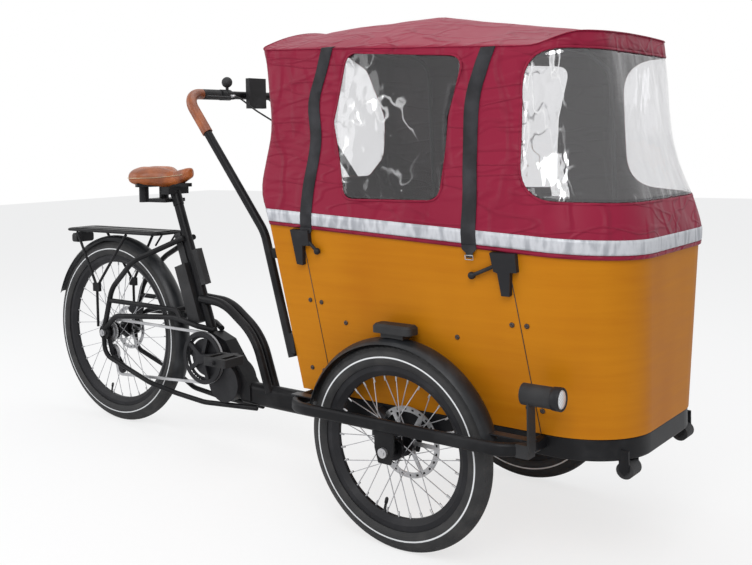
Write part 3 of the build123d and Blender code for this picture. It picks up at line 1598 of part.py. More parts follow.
# Each row is a latch's outline, where its lever starts and where the lever's ball is: X
# from the front axle, and how far below the box's highest corner.
latch_rows = [
    (
        [(-321.0, 36.0), (-309.0, 128.0), (-289.0, 130.0), (-284.0, 77.0), (-262.0, 77.0), (-262.0, 36.0)],
        (-274.0, 60.0), (-240.0, 92.0),
    ),
    (
        [
            (257.0, 66.0), (264.0, 109.0), (273.0, 112.0), (279.0, 164.0), (299.0, 164.0),
            (304.0, 109.0), (320.0, 109.0), (319.0, 66.0),
        ],
        (288.0, 88.0), (206.0, 124.0),
    ),
]
with BuildPart() as canopy_poles:
    for x, eave_top, ridge_top in (
        (bow_rear_x, bow_rear_eave_z, bow_rear_ridge_z), (bow_front_x, bow_front_eave_z, bow_front_ridge_z),
    ):
        foot = box_half(bow_foot_z) - panel * slope - running_gap - bow_radius * slope
        shoulder = eave_half - canopy_skin - bow_roof_gap
        shoulder_z = eave_top - bow_roof_gap
        crown_z = ridge_top - bow_roof_gap
        tube(
            [
                (x, -foot, bow_foot_z), (x, -shoulder, shoulder_z), (x, -ridge_half, crown_z),
                (x, ridge_half, crown_z), (x, shoulder, shoulder_z), (x, foot, bow_foot_z),
            ],
            bow_bend, bow_radius,
        )
    for side in SIDES.values():
        for corners, start, end in latch_rows:
            with BuildSketch(side_face(side, out=running_gap)) as latch_section:
                with BuildLine() as outline:
                    Polyline(
                        *[
                            (front_axle_x + ahead, -side * slope * (box_rear_top - drop - box_floor_z))
                            for ahead, drop in corners
                        ],
                        close=True,
                    )
                make_face(outline.edges())
            extrude(latch_section.sketch, amount=latch_depth)
            lever = []
            for ahead, drop in (start, end):
                z = box_rear_top - drop
                stand = running_gap + latch_ball_radius * slope
                lever.append((front_axle_x + ahead, side * (box_half(z) + stand), z))
            tube(lever, 0, latch_lever_radius)
            with Locations(lever[-1]):
                Sphere(latch_ball_radius, rotation=(0, 0, latch_ball_turn))
keep(canopy_poles.part, "canopy_poles")

# Push bar: a bent tube behind the box; turning it turns the whole front module
bar_radius = 12.5
bar_overhang = 8.0
bar_half_width = box_floor_half + bar_overhang
bar_foot_setback = 370.0
bar_foot_z = 420.0
bar_knee_setback = 462.0
bar_knee_z = 760.0
bar_top_setback = 765.0
bar_top_z = 1165.0
bar_foot = (front_axle_x - bar_foot_setback, bar_foot_z)
bar_knee = (front_axle_x - bar_knee_setback, bar_knee_z)
bar_top = (front_axle_x - bar_top_setback, bar_top_z)
bar_knee_bend = 120.0
bar_top_bend = 60.0
bar_bends = [bar_knee_bend, bar_top_bend, bar_top_bend, bar_knee_bend]
# Each clamp's lower and upper edge below the box's highest corner, and its half width
clamp_rows = [(383.0, 329.0, 20.0), (125.0, 99.0, 9.0)]


def on_bar(z):
    """Return the X of the push bar's centre line at a height."""
    low, high = (bar_foot, bar_knee) if z < bar_knee[1] else (bar_knee, bar_top)
    return low[0] + (high[0] - low[0]) * (z - low[1]) / (high[1] - low[1])


with BuildPart() as push_bar:
    corners = [(point[0], -bar_half_width, point[1]) for point in (bar_foot, bar_knee, bar_top)]
    corners += [(point[0], bar_half_width, point[1]) for point in (bar_top, bar_knee, bar_foot)]
    tube(corners, bar_bends, bar_radius)
    for side in SIDES.values():
        for low_drop, high_drop, half in clamp_rows:
            low = box_rear_top - low_drop
            high = box_rear_top - high_drop
            middle = side * (bar_half_width - half / 2)
            side_plate(
                [
                    (box_back(low) - running_gap, low), (box_back(high) - running_gap, high),
                    (on_bar(high), high), (on_bar(low), low),
                ],
                middle - half, middle + half,
            )
keep(push_bar.part, "push_bar")

sleeve_outer = 16.0
sleeve_bore = bar_radius + running_gap
sleeve_start_z = 1045.0
sleeve_end_inset = 70.0
grip_length = 75.0
sleeve_end_y = bar_half_width - sleeve_end_inset
grip_end_y = sleeve_end_y - grip_length
with BuildPart() as bar_sleeves:
    for side in SIDES.values():
        tube(
            [
                (on_bar(sleeve_start_z), side * bar_half_width, sleeve_start_z),
                (bar_top[0], side * bar_half_width, bar_top[1]),
                (bar_top[0], side * sleeve_end_y, bar_top[1]),
            ],
            bar_top_bend, sleeve_outer, bore=sleeve_bore,
        )
keep(bar_sleeves.part, "bar_sleeves")

with BuildPart() as bar_grips:
    for side in SIDES.values():
        near = side * grip_end_y
        far = side * (sleeve_end_y - running_gap)
        disc(bar_top, sleeve_outer, min(near, far), max(near, far), bore=sleeve_bore)
keep(bar_grips.part, "bar_grips")

# Brake levers, a ball-shaped bell and the display on the push bar
lever_clamp_inset = 18.0
lever_clamp_y = grip_end_y - lever_clamp_inset
lever_clamp_half = 10.0
lever_clamp_radius = 17.0
lever_body = (26.0, 30.0, 20.0)
lever_body_ahead = 24.0
lever_body_drop = 6.0
lever_blade_radius = 4.5
lever_blade = [(26.0, 0.0, -8.0), (50.0, 28.0, -12.0), (44.0, 114.0, -10.0)]
lever_blade_bend = 20.0
display_ring_half = 9.0
display_size = (16.0, 80.0, 96.0)
display_y = 10.0
display_ahead = 24.0
display_rise = 6.0
ball_y = -100.0
ball_radius = 17.0
ball_rise = 40.0
ball_stem_radius = 5.0
with BuildPart() as bar_controls:
    for side in SIDES.values():
        middle = side * lever_clamp_y
        disc(bar_top, lever_clamp_radius, middle - lever_clamp_half, middle + lever_clamp_half)
        with Locations((bar_top[0] + lever_body_ahead, middle, bar_top[1] - lever_body_drop)):
            Box(*lever_body)
        tube(
            [
                (bar_top[0] + ahead, side * (lever_clamp_y + out), bar_top[1] + lift)
                for ahead, out, lift in lever_blade
            ],
            lever_blade_bend, lever_blade_radius,
        )
    disc(bar_top, lever_clamp_radius, display_y - display_ring_half, display_y + display_ring_half)
    with Locations((bar_top[0] + display_ahead, display_y, bar_top[1] + display_rise)):
        Box(*display_size)
    disc(bar_top, lever_clamp_radius, ball_y - display_ring_half, ball_y + display_ring_half)
    ball = (bar_top[0], ball_y, bar_top[1] + ball_rise)
    tube([(bar_top[0], ball_y, bar_top[1]), ball], 0, ball_stem_radius)
    with Locations(ball):
        Sphere(ball_radius)
    disc(bar_top, sleeve_bore, -bar_half_width, bar_half_width, mode=Mode.SUBTRACT)
keep(bar_controls.part, "bar_controls")

# Fenders over the front wheels, on tabs that rest on the wheel hoops
fender_inner = 268.0
fender_sheet = 2.5
fender_width = 62.0
fender_crown = 12.0
fender_start = 14.0
fender_end = 165.0
fender_tab_half = 14.0
fender_tab_thickness = 3.0
fender_tab_z = hoop_z + hoop_height / 2 + running_gap
tab_rise = fender_tab_z + fender_tab_thickness / 2 - front_tyre_radius
tab_root = math.sqrt(fender_inner**2 - tab_rise**2)
with BuildPart() as front_fenders:
    for side in SIDES.values():
        guard(
            front_axle_x, side * wheel_y, front_tyre_radius, fender_inner, fender_width,
            fender_crown, fender_sheet, fender_start, fender_end,
        )
        tab_ends = [(tab_root, hoop_front_x + hoop_width / 2), (-tab_root, hoop_rear_x - hoop_width / 2)]
        for root, tip in tab_ends:
            tip -= front_axle_x
            with Locations((
                front_axle_x + (root + tip) / 2, side * wheel_y, fender_tab_z + fender_tab_thickness / 2,
            )):
                Box(abs(tip - root), 2 * fender_tab_half, fender_tab_thickness)
keep(front_fenders.part, "front_fenders")

# Lamps: a round headlamp on a bracket at each hoop and a flat marker lamp on each fender
headlamp_radius = 24.0
headlamp_z = 445.0
headlamp_ahead = 345.0
headlamp_length = 85.0
headlamp_out = 24.0
headlamp_back = front_axle_x + headlamp_ahead
headlamp_y = wheel_y + headlamp_out
bracket_ahead = 362.0
bracket_x = front_axle_x + bracket_ahead
bracket_sheet = 4.0
bracket_width = 34.0
bracket_foot = 30.0
marker_length = 110.0
marker_width = 50.0
marker_height = 22.0
marker_corner = 14.0
marker_chamfer = 6.0
marker_z = 536.0
marker_foot_size = (64.0, 34.0, 40.0)
with BuildPart() as front_lamps:
    for side in SIDES.values():
        y = side * headlamp_y
        plane = Plane(origin=(headlamp_back, y, headlamp_z), z_dir=(1, 0, 0))
        with BuildSketch(plane) as headlamp_section:
            Circle(headlamp_radius)
        extrude(headlamp_section.sketch, amount=headlamp_length)
        with Locations((bracket_x, y, (hoop_z + headlamp_z) / 2)):
            Box(bracket_sheet, bracket_width, headlamp_z - hoop_z)
        with Locations((bracket_x - bracket_foot / 2, y, hoop_z)):
            Box(bracket_foot, bracket_width, bracket_foot)
        with Locations((front_axle_x, side * wheel_y, marker_z - marker_foot_size[2] / 2)):
            Box(*marker_foot_size)
        with BuildSketch(Plane.XY.offset(marker_z)) as marker_section:
            with Locations((front_axle_x, side * wheel_y)):
                RectangleRounded(marker_length, marker_width, marker_corner)
        extrude(marker_section.sketch, amount=marker_height - marker_chamfer)
        with BuildSketch(Plane.XY.offset(marker_z + marker_height)) as marker_top:
            with Locations((front_axle_x, side * wheel_y)):
                RectangleRounded(
                    marker_length - 2 * marker_chamfer, marker_width - 2 * marker_chamfer,
                    marker_corner - marker_chamfer,
                )
        with BuildSketch(Plane.XY.offset(marker_z + marker_height - marker_chamfer)) as marker_shoulder:
            with Locations((front_axle_x, side * wheel_y)):
                RectangleRounded(marker_length, marker_width, marker_corner)
        loft([marker_shoulder.sketch, marker_top.sketch], ruled=True)
    disc(
        front_centre, fender_inner + fender_sheet, -hoop_y, hoop_y, mode=Mode.SUBTRACT,
    )
    add([front_frame.part, front_fenders.part], mode=Mode.SUBTRACT)
keep(front_lamps.part, "front_lamps")

# Rubber bumpers between the lugs under the frame's front
with BuildPart() as frame_feet:
    for side in SIDES.values():
        middle = side * bumper_y
        disc(
            (front_axle_x + bumper_ahead, bumper_z), bumper_radius,
            middle - bumper_half, middle + bumper_half,
        )
keep(frame_feet.part, "frame_feet")
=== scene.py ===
import logging
import math
from collections.abc import Iterable, Sequence
from dataclasses import dataclass
from enum import Enum

import bmesh
import bpy
from mathutils import Matrix, Vector, noise


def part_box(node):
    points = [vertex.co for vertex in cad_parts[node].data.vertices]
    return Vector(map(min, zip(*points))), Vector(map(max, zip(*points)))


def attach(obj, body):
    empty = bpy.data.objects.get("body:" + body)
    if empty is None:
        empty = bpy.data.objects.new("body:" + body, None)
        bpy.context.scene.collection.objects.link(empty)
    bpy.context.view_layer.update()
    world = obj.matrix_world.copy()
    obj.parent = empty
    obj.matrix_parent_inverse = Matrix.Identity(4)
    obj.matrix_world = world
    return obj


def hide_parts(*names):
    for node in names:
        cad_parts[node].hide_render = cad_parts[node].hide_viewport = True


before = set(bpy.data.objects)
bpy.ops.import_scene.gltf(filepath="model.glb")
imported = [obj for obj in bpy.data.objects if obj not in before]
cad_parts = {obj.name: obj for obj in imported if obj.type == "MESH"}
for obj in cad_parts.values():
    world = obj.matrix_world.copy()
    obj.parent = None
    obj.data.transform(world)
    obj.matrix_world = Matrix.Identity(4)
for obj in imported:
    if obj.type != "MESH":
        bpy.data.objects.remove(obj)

LOG = logging.getLogger("tricycle")
Colour = tuple[float, float, float]
Point = tuple[float, float, float]

# Shared directions, and places in metres: the wheel axles and the box that the canopy goes round.
AHEAD, LEFT, UP = Vector((1, 0, 0)), Vector((0, 1, 0)), Vector((0, 0, 1))
FRONT_X = 0.608
REAR_X = -0.826
FRONT_RADIUS = 0.255
REAR_RADIUS = 0.335
WHEEL_Y = 0.338
BOX_FLOOR_Z = 0.336
BOX_FLOOR_HALF = 0.277
BOX_LEAN = 0.121
BOX_BACK = -0.341
BOX_BACK_LEAN = 0.132
BOX_NOSE = 0.5303
BOX_NOSE_LEAN = 0.04
BOX_CORNER = 0.366
BOX_BACK_RADIUS = 0.014
BOX_TOP_RADIUS = 0.178
RIM_BACK_Z = 0.815
RIM_FRONT_Z = 0.765


class Side(Enum):
    """The rider's right or left, as the sign of Y."""

    RIGHT = -1
    LEFT = 1

    @property
    def word(self) -> str:
        """The side's name in lower case."""
        return self.name.lower()


# Shaders


class Wire:
    """A node socket that adds Math nodes when it is used in an expression."""

    def __init__(self, sheet: "Surface", socket: bpy.types.NodeSocket) -> None:
        """Hold a socket of a material that is being built."""
        self.sheet = sheet
        self.socket = socket

    def _join(self, operation: str, first: "Wire | float", second: "Wire | float" = 0.0) -> "Wire":
        """Add one Math node.

        Args:
            operation: the node's operation.
            first: its first value.
            second: its second value.

        Returns:
            The node's result.
        """
        made = self.sheet.node("ShaderNodeMath", {"operation": operation}, {0: first, 1: second})
        return Wire(self.sheet, made.outputs[0])

    def __add__(self, other: "Wire | float") -> "Wire":
        """Return self + other."""
        return self._join("ADD", self, other)

    def __radd__(self, other: float) -> "Wire":
        """Return other + self."""
        return self._join("ADD", other, self)

    def __sub__(self, other: "Wire | float") -> "Wire":
        """Return self - other."""
        return self._join("SUBTRACT", self, other)

    def __rsub__(self, other: float) -> "Wire":
        """Return other - self."""
        return self._join("SUBTRACT", other, self)

    def __mul__(self, other: "Wire | float") -> "Wire":
        """Return self * other."""
        return self._join("MULTIPLY", self, other)

    def __rmul__(self, other: float) -> "Wire":
        """Return other * self."""
        return self._join("MULTIPLY", other, self)

    def __truediv__(self, other: "Wire | float") -> "Wire":
        """Return self / other."""
        return self._join("DIVIDE", self, other)

    def __abs__(self) -> "Wire":
        """Return the size without the sign."""
        return self._join("ABSOLUTE", self)

    def __lt__(self, other: float) -> "Wire":
        """Return 1 where self is less, else 0."""
        return self._join("LESS_THAN", self, other)

    def sine(self) -> "Wire":
        """Return the sine."""
        return self._join("SINE", self)

    def turn(self, other: "Wire") -> "Wire":
        """Return the angle of (other, self), as arctan2 does."""
        return self._join("ARCTAN2", self, other)

    def root(self) -> "Wire":
        """Return the square root."""
        return self._join("SQRT", self)

    def ramp(self, start: float, end: float) -> "Wire":
        """Return 0 before start, 1 after end and a smooth rise between."""
        made = self.sheet.node(
            "ShaderNodeMapRange", {"interpolation_type": "SMOOTHSTEP"},
            {"Value": self, "From Min": start, "From Max": end},
        )
        return Wire(self.sheet, made.outputs["Result"])


class Surface:
    """A material that is being built: one Principled shader and what feeds it."""

    def __init__(self, name: str) -> None:
        """Start an empty material.

        Args:
            name: the material's name.
        """
        self.material = bpy.data.materials.new(name)
        self.material.use_nodes = True
        self.tree = self.material.node_tree
        self.tree.nodes.clear()
        self.output = self.tree.nodes.new("ShaderNodeOutputMaterial")

    def node(self, kind: str, settings: dict | None = None, values: dict | None = None) -> bpy.types.Node:
        """Add a node.

        Args:
            kind: the node's type.
            settings: its settings.
            values: numbers, colours or wires for its sockets, by name or index.

        Returns:
            The new node.
        """
        made = self.tree.nodes.new(kind)
        for key, value in (settings or {}).items():
            setattr(made, key, value)
        for key, value in (values or {}).items():
            if isinstance(value, Wire):
                self.tree.links.new(value.socket, made.inputs[key])
            else:
                made.inputs[key].default_value = value
        return made

    def place(self) -> Wire:
        """Return the point on the piece, in metres."""
        return Wire(self, self.node("ShaderNodeTexCoord").outputs["Object"])

    def axes(self) -> tuple[Wire, Wire, Wire]:
        """Return the X, Y and Z of the point on the piece."""
        made = self.node("ShaderNodeSeparateXYZ", {}, {0: self.place()})
        return tuple(Wire(self, made.outputs[index]) for index in range(3))

    def noise(
        self, scale: float, detail: float = 2.0, stretch: Sequence[float] = (1, 1, 1),
        turn: Sequence[float] = (0, 0, 0),
    ) -> Wire:
        """Return a noise from 0 to 1.

        Args:
            scale: how many grains fit in a metre.
            detail: how many octaves it has.
            stretch: scale along each axis.
            turn: how far the pattern is turned about each axis, in radians.

        Returns:
            The noise.
        """
        values = {"Vector": self.place(), "Rotation": turn, "Scale": stretch}
        laid = Wire(self, self.node("ShaderNodeMapping", {}, values).outputs[0])
        made = self.node("ShaderNodeTexNoise", {}, {"Vector": laid, "Scale": scale, "Detail": detail})
        return Wire(self, made.outputs["Fac"])

    def cells(self, scale: float) -> Wire:
        """Return the distance to the nearest of a set of scattered points."""
        made = self.node("ShaderNodeTexVoronoi", {}, {"Vector": self.place(), "Scale": scale})
        return Wire(self, made.outputs["Distance"])

    def blend(self, factor: Wire | float, first: Wire | Colour, second: Wire | Colour) -> Wire:
        """Return a colour between two.

        Args:
            factor: 0 for the first and 1 for the second.
            first: a colour.
            second: a colour.

        Returns:
            The mixed colour.
        """
        colours = [c if isinstance(c, Wire) else (*c, 1.0) for c in (first, second)]
        made = self.node("ShaderNodeMix", {"data_type": "RGBA"}, {0: factor, 6: colours[0], 7: colours[1]})
        return Wire(self, made.outputs[2])

    def bump(
        self, height: Wire, depth: float, strength: float = 1.0, under: Wire | None = None,
    ) -> Wire:
        """Return a normal that follows a height.

        Args:
            height: from 0 to 1.
            depth: how many metres a height of 1 stands for.
            strength: the share of it that shows.
            under: the normal that it lies on, if it isn't the mesh's own.

        Returns:
            The normal.
        """
        values = {"Strength": strength, "Distance": depth, "Height": height}
        if under is not None:
            values["Normal"] = under
        return Wire(self, self.node("ShaderNodeBump", {}, values).outputs["Normal"])

    def principled(self, **values: "Wire | float | Colour") -> bpy.types.Node:
        """Add the main shader; the names are its sockets' with _ for a space."""
        sockets = {}
        for key, value in values.items():
            if isinstance(value, tuple):
                value = (*value, 1.0)
            sockets[key.replace("_", " ")] = value
        return self.node("ShaderNodeBsdfPrincipled", {}, sockets)

    def mix(self, factor: Wire, first: bpy.types.Node, second: bpy.types.Node) -> bpy.types.Node:
        """Mix two shaders: factor is 0 for the first and 1 for the second."""
        made = self.node("ShaderNodeMixShader", {}, {0: factor})
        self.tree.links.new(first.outputs[0], made.inputs[1])
        self.tree.links.new(second.outputs[0], made.inputs[2])
        return made

    def finish(self, shader: bpy.types.Node) -> bpy.types.Material:
        """Join the shader to the output and return the material."""
        self.tree.links.new(shader.outputs[0], self.output.inputs["Surface"])
        return self.material


@dataclass(frozen=True)
class Finish:
    """What a surface looks like; each kind of finish builds its own shader."""

    name: str

    def shader(self, s: Surface) -> bpy.types.Node:
        """Build the shader on an empty surface."""
        raise NotImplementedError

    def material(self) -> bpy.types.Material:
        """Build the material."""
        s = Surface(self.name)
        return s.finish(self.shader(s))


@dataclass(frozen=True)
class Paint(Finish):
    """Powder coat or anodised metal, with a fine orange-peel and a little dust."""

    colour: Colour
    roughness: float = 0.28
    metal: float = 0.0
    coat: float = 0.5
    shine: float = 0.5

    def shader(self, s: Surface) -> bpy.types.Node:
        """Build the shader on an empty surface."""
        dust = s.noise(9.0, 4.0)
        fine = s.noise(700.0, 2.0)
        lift = tuple(min(1.0, c * 1.5 + 0.012) for c in self.colour)
        return s.principled(
            Base_Color=s.blend(dust.ramp(0.45, 0.75), self.colour, lift),
            Roughness=self.roughness + dust * 0.16,
            Metallic=self.metal, Specular_IOR_Level=self.shine,
            Coat_Weight=self.coat, Coat_Roughness=0.12,
            Normal=s.bump(fine, 0.00006),
        )


@dataclass(frozen=True)
class Plastic(Finish):
    """Moulded plastic or rubber with a fine grain."""

    colour: Colour
    roughness: float = 0.5
    grain: float = 0.0001
    shine: float = 0.3

    def shader(self, s: Surface) -> bpy.types.Node:
        """Build the shader on an empty surface."""
        grain = s.cells(900.0)
        patch = s.noise(14.0, 3.0)
        lift = tuple(min(1.0, c * 1.7 + 0.01) for c in self.colour)
        return s.principled(
            Base_Color=s.blend(patch.ramp(0.4, 0.8), self.colour, lift),
            Roughness=self.roughness + patch * 0.14, Specular_IOR_Level=self.shine,
            Normal=s.bump(grain, self.grain),
        )


@dataclass(frozen=True)
class TurnedMetal(Finish):
    """Bright metal with rings round a wheel's axle; a band of drilled holes, painted as dark spots of
    shade, is optional.
    """

    colour: Colour
    centre: tuple[float, float]
    roughness: float = 0.3
    dark_to: float = 0.0
    holes_at: float = 0.0
    hole_rows: float = 24.0
    hole_half: tuple[float, float] = (0.0018, 0.003)
    ring_wave: float = 5200.0

    def shader(self, s: Surface) -> bpy.types.Node:
        """Build the shader on an empty surface."""
        x, _, z = s.axes()
        across, up = x - self.centre[0], z - self.centre[1]
        reach = (across * across + up * up).root()
        rings = (reach * self.ring_wave).sine() * 0.5 + 0.5
        scratch = s.noise(60.0, 5.0)
        colour = s.blend(scratch.ramp(0.3, 0.8), tuple(c * 0.75 for c in self.colour), self.colour)
        if self.dark_to:
            colour = s.blend(reach < self.dark_to, colour, (0.018, 0.018, 0.02))
        # Painted shade: the drilled holes are not cut but painted near black, as the shade seen through
        # them.
        if self.holes_at:
            spin = up.turn(across) * self.hole_rows
            spot = (spin.sine() * 0.5 + 0.5).ramp(0.72, 0.85)
            row = 1 - abs(reach - self.holes_at).ramp(*self.hole_half)
            colour = s.blend(spot * row, colour, (0.01, 0.01, 0.01))
        return s.principled(
            Base_Color=colour, Metallic=0.85, Roughness=self.roughness + scratch * 0.15,
            Normal=s.bump(rings, 0.00003),
        )


@dataclass(frozen=True)
class TyreRubber(Finish):
    """Tyre rubber with a block tread, ribbed walls and a pale reflective line."""

    centre: tuple[float, float, float]
    radius: float
    line_radius: float
    blocks: int
    line_half: tuple[float, float] = (0.0014, 0.0022)
    groove_at: float = 0.0065
    groove_half: tuple[float, float] = (0.0008, 0.0018)
    tread_edges: tuple[float, float] = (0.011, 0.007)
    tread_depth: float = 0.0016
    rib_wave: float = 2600.0

    def shader(self, s: Surface) -> bpy.types.Node:
        """Build the shader on an empty surface."""
        x, y, z = s.axes()
        across, up, aside = x - self.centre[0], z - self.centre[2], y - self.centre[1]
        reach = (across * across + up * up).root()
        turn = up.turn(across) / math.tau
        width = abs(aside)
        lean = turn * self.blocks + width * 60.0
        cut = (lean * math.tau).sine().ramp(0.55, 0.8)
        groove = 1 - abs(width - self.groove_at).ramp(*self.groove_half)
        outer = reach.ramp(*(self.radius - edge for edge in self.tread_edges))
        tread = outer * (1 - (cut + groove).ramp(0.2, 0.8))
        ribs = (reach * self.rib_wave).sine() * 0.06
        line = 1 - abs(reach - self.line_radius).ramp(*self.line_half)
        dust = s.noise(26.0, 4.0)
        colour = s.blend(dust.ramp(0.35, 0.75), (0.011, 0.011, 0.012), (0.030, 0.029, 0.029))
        return s.principled(
            Base_Color=s.blend(line, colour, (0.72, 0.73, 0.74)),
            Roughness=0.62 - line * 0.25 + dust * 0.12,
            Normal=s.bump(tread + ribs, self.tread_depth),
        )


@dataclass(frozen=True)
class Plywood(Finish):
    """Varnished plywood: even honey colour with a faint long grain and soft clouds."""

    light: Colour = (0.52, 0.192, 0.006)
    dark: Colour = (0.42, 0.136, 0.003)
    gloss: float = 0.42

    def shader(self, s: Surface) -> bpy.types.Node:
        """Build the shader on an empty surface."""
        grain = s.noise(7.0, 4.0, stretch=(0.5, 0.8, 9.0))
        pores = s.noise(90.0, 2.0, stretch=(0.25, 1.2, 7.0))
        cloud = s.noise(2.6, 2.0, stretch=(1.6, 1.6, 0.5))
        tone = s.blend((grain * 0.3 + cloud * 0.7).ramp(0.25, 0.75), self.dark, self.light)
        tone = s.blend(pores.ramp(0.60, 0.85) * 0.16, tone, tuple(c * 0.5 for c in self.dark))
        return s.principled(
            Base_Color=tone, Roughness=self.gloss + grain * 0.1,
            Specular_IOR_Level=0.09, Coat_Weight=0.02, Coat_Roughness=0.2,
            Normal=s.bump(pores, 0.00010, 0.4),
        )


@dataclass(frozen=True)
class Cloth(Finish):
    """Coated woven cloth: a fine grid of threads and sharp folds that run three ways, with painted shade
    along the folds.
    """

    colour: Colour
    shade: Colour
    thread: float = 1400.0
    roughness: float = 0.40
    sheen: float = 0.01
    crease: float = 0.012

    def shader(self, s: Surface) -> bpy.types.Node:
        """Build the shader on an empty surface."""
        x, y, z = s.axes()
        weave = (x * self.thread + y * self.thread).sine() * (z * self.thread).sine() * 0.5 + 0.5
        upright = s.noise(4.6, 2.0, stretch=(1.5, 1.5, 0.55))
        slant = s.noise(5.4, 2.0, stretch=(0.7, 1.0, 2.2), turn=(0.0, 0.85, 0.0))
        other = s.noise(6.5, 1.0, stretch=(0.6, 1.0, 2.4), turn=(0.0, -0.65, 0.0))
        folds = 1 - abs(upright - 0.5).ramp(0.0, 0.055)
        folds = folds + (1 - abs(slant - 0.5).ramp(0.0, 0.045)) * slant.ramp(0.3, 0.7)
        folds = folds + (1 - abs(other - 0.5).ramp(0.0, 0.035)) * 0.6
        soft = s.noise(2.4, 2.0)
        fine = s.noise(38.0, 3.0, stretch=(1.0, 1.0, 0.6))
        # Painted shade: the colour turns towards the shade colour along the folds; it also darkens in soft
        # random patches.
        tone = s.blend(soft.ramp(0.2, 0.8) * 0.5 + folds * 0.18, self.colour, self.shade)
        threads = s.bump(weave, 0.00006)
        relief = s.bump(folds * 0.42 + fine * 0.06, self.crease, 0.6, threads)
        return s.principled(
            Base_Color=tone, Roughness=self.roughness + fine * 0.1,
            Sheen_Weight=self.sheen, Sheen_Roughness=0.4, Specular_IOR_Level=0.16,
            Normal=relief,
        )


@dataclass(frozen=True)
class Webbing(Finish):
    """Flat woven strap with ribs along it."""

    colour: Colour = (0.018, 0.018, 0.02)

    def shader(self, s: Surface) -> bpy.types.Node:
        """Build the shader on an empty surface."""
        x, _, z = s.axes()
        rows = (z * 3200.0).sine() * 0.5 + 0.5
        ribs = (x * 2100.0).sine() * 0.5 + 0.5
        wear = s.noise(20.0, 3.0)
        return s.principled(
            Base_Color=s.blend(wear.ramp(0.3, 0.8), self.colour, tuple(c * 2.4 for c in self.colour)),
            Roughness=0.6 + wear * 0.2, Specular_IOR_Level=0.2,
            Normal=s.bump(rows * ribs, 0.0003),
        )


@dataclass(frozen=True)
class ReflectiveTape(Finish):
    """Silver reflective tape with small creases where the cloth folds, painted lighter along them and
    darker between as light and shade.
    """

    def shader(self, s: Surface) -> bpy.types.Node:
        """Build the shader on an empty surface."""
        crush = abs(s.noise(30.0, 4.0, stretch=(1.0, 1.0, 0.35)) - 0.5) * 2.0
        dots = s.cells(700.0)
        # Painted light and shade: lighter along the crease lines, darker between them.
        return s.principled(
            Base_Color=s.blend(crush.ramp(0.0, 0.35), (0.56, 0.57, 0.60), (0.34, 0.35, 0.38)),
            Metallic=0.25, Roughness=0.38 + dots * 0.2,
            Normal=s.bump(crush + dots * 0.05, 0.0035, 0.7),
        )


@dataclass(frozen=True)
class Leather(Finish):
    """Smooth leather with a pebbled grain, darker in soft random patches, and with painted shade in its
    pits.
    """

    colour: Colour = (0.40, 0.105, 0.020)
    shade: Colour = (0.17, 0.038, 0.008)

    def shader(self, s: Surface) -> bpy.types.Node:
        """Build the shader on an empty surface."""
        pebble = s.cells(420.0)
        patch = s.noise(16.0, 4.0)
        tone = s.blend(patch.ramp(0.25, 0.72), self.shade, self.colour)
        # Painted shade: the pits of the pebbled grain are darkened.
        tone = s.blend(pebble.ramp(0.0, 0.25), tuple(c * 0.8 for c in self.colour), tone)
        return s.principled(
            Base_Color=tone, Roughness=0.34 + patch * 0.18, Coat_Weight=0.12, Coat_Roughness=0.25,
            Normal=s.bump(pebble, 0.00035, 0.6),
        )


@dataclass(frozen=True)
class ClearSheet(Finish):
    """Clear flexible sheet: see-through, with bumped crinkles and painted highlights: more of it turns to
    mirror along crease lines and in small random spots.
    """

    haze: float = 0.02
    painted_glint: float = 0.5
    upright: float = 0.25
    grain: float = 16.0
    relief: float = 0.012

    def shader(self, s: Surface) -> bpy.types.Node:
        """Build the shader on an empty surface."""
        waves = s.noise(5.0, 3.0, stretch=(1.0, 1.0, self.upright), turn=(0.0, 0.12, 0.0))
        ripple = s.noise(self.grain, 3.0, stretch=(1.0, 1.0, self.upright))
        spark = s.noise(60.0, 2.0, stretch=(1.0, 1.0, 0.6))
        # Painted highlights: the share of mirror is raised along thin crease lines and in small random
        # spots, which then show the white surroundings as glints.
        creases = (1 - abs(ripple - 0.5).ramp(0.0, 0.018)) * waves.ramp(0.48, 0.62)
        painted_sparkle = spark.ramp(0.70, 0.76) * waves.ramp(0.5, 0.6)
        normal = s.bump(waves + ripple * 0.35, self.relief, 0.7)
        gloss = s.principled(Base_Color=(0.88, 0.88, 0.89), Roughness=0.05, Metallic=1.0, Normal=normal)
        rim = s.node("ShaderNodeFresnel", {}, {"IOR": 1.45, "Normal": normal})
        inner = Wire(s, s.node("ShaderNodeNewGeometry").outputs["Backfacing"])
        edge = Wire(s, rim.outputs[0]) * (1 - inner) * 1.1
        amount = edge + (creases + painted_sparkle) * self.painted_glint + self.haze
        clear = s.node("ShaderNodeBsdfTransparent", {}, {"Color": (0.93, 0.93, 0.935, 1.0)})
        return s.mix(amount, clear, gloss)


@dataclass(frozen=True)
class Lens(Finish):
    """Moulded lamp lens with small prisms."""

    colour: Colour
    prism: float = 900.0

    def shader(self, s: Surface) -> bpy.types.Node:
        """Build the shader on an empty surface."""
        _, y, z = s.axes()
        prisms = (y * self.prism).sine() * (z * self.prism).sine() * 0.5 + 0.5
        tone = s.blend(prisms.ramp(0.2, 0.9), tuple(c * 0.55 for c in self.colour), self.colour)
        return s.principled(
            Base_Color=tone, Roughness=0.1 + prisms * 0.1, Coat_Weight=1.0,
            Coat_Roughness=0.03, Normal=s.bump(prisms, 0.0005),
        )


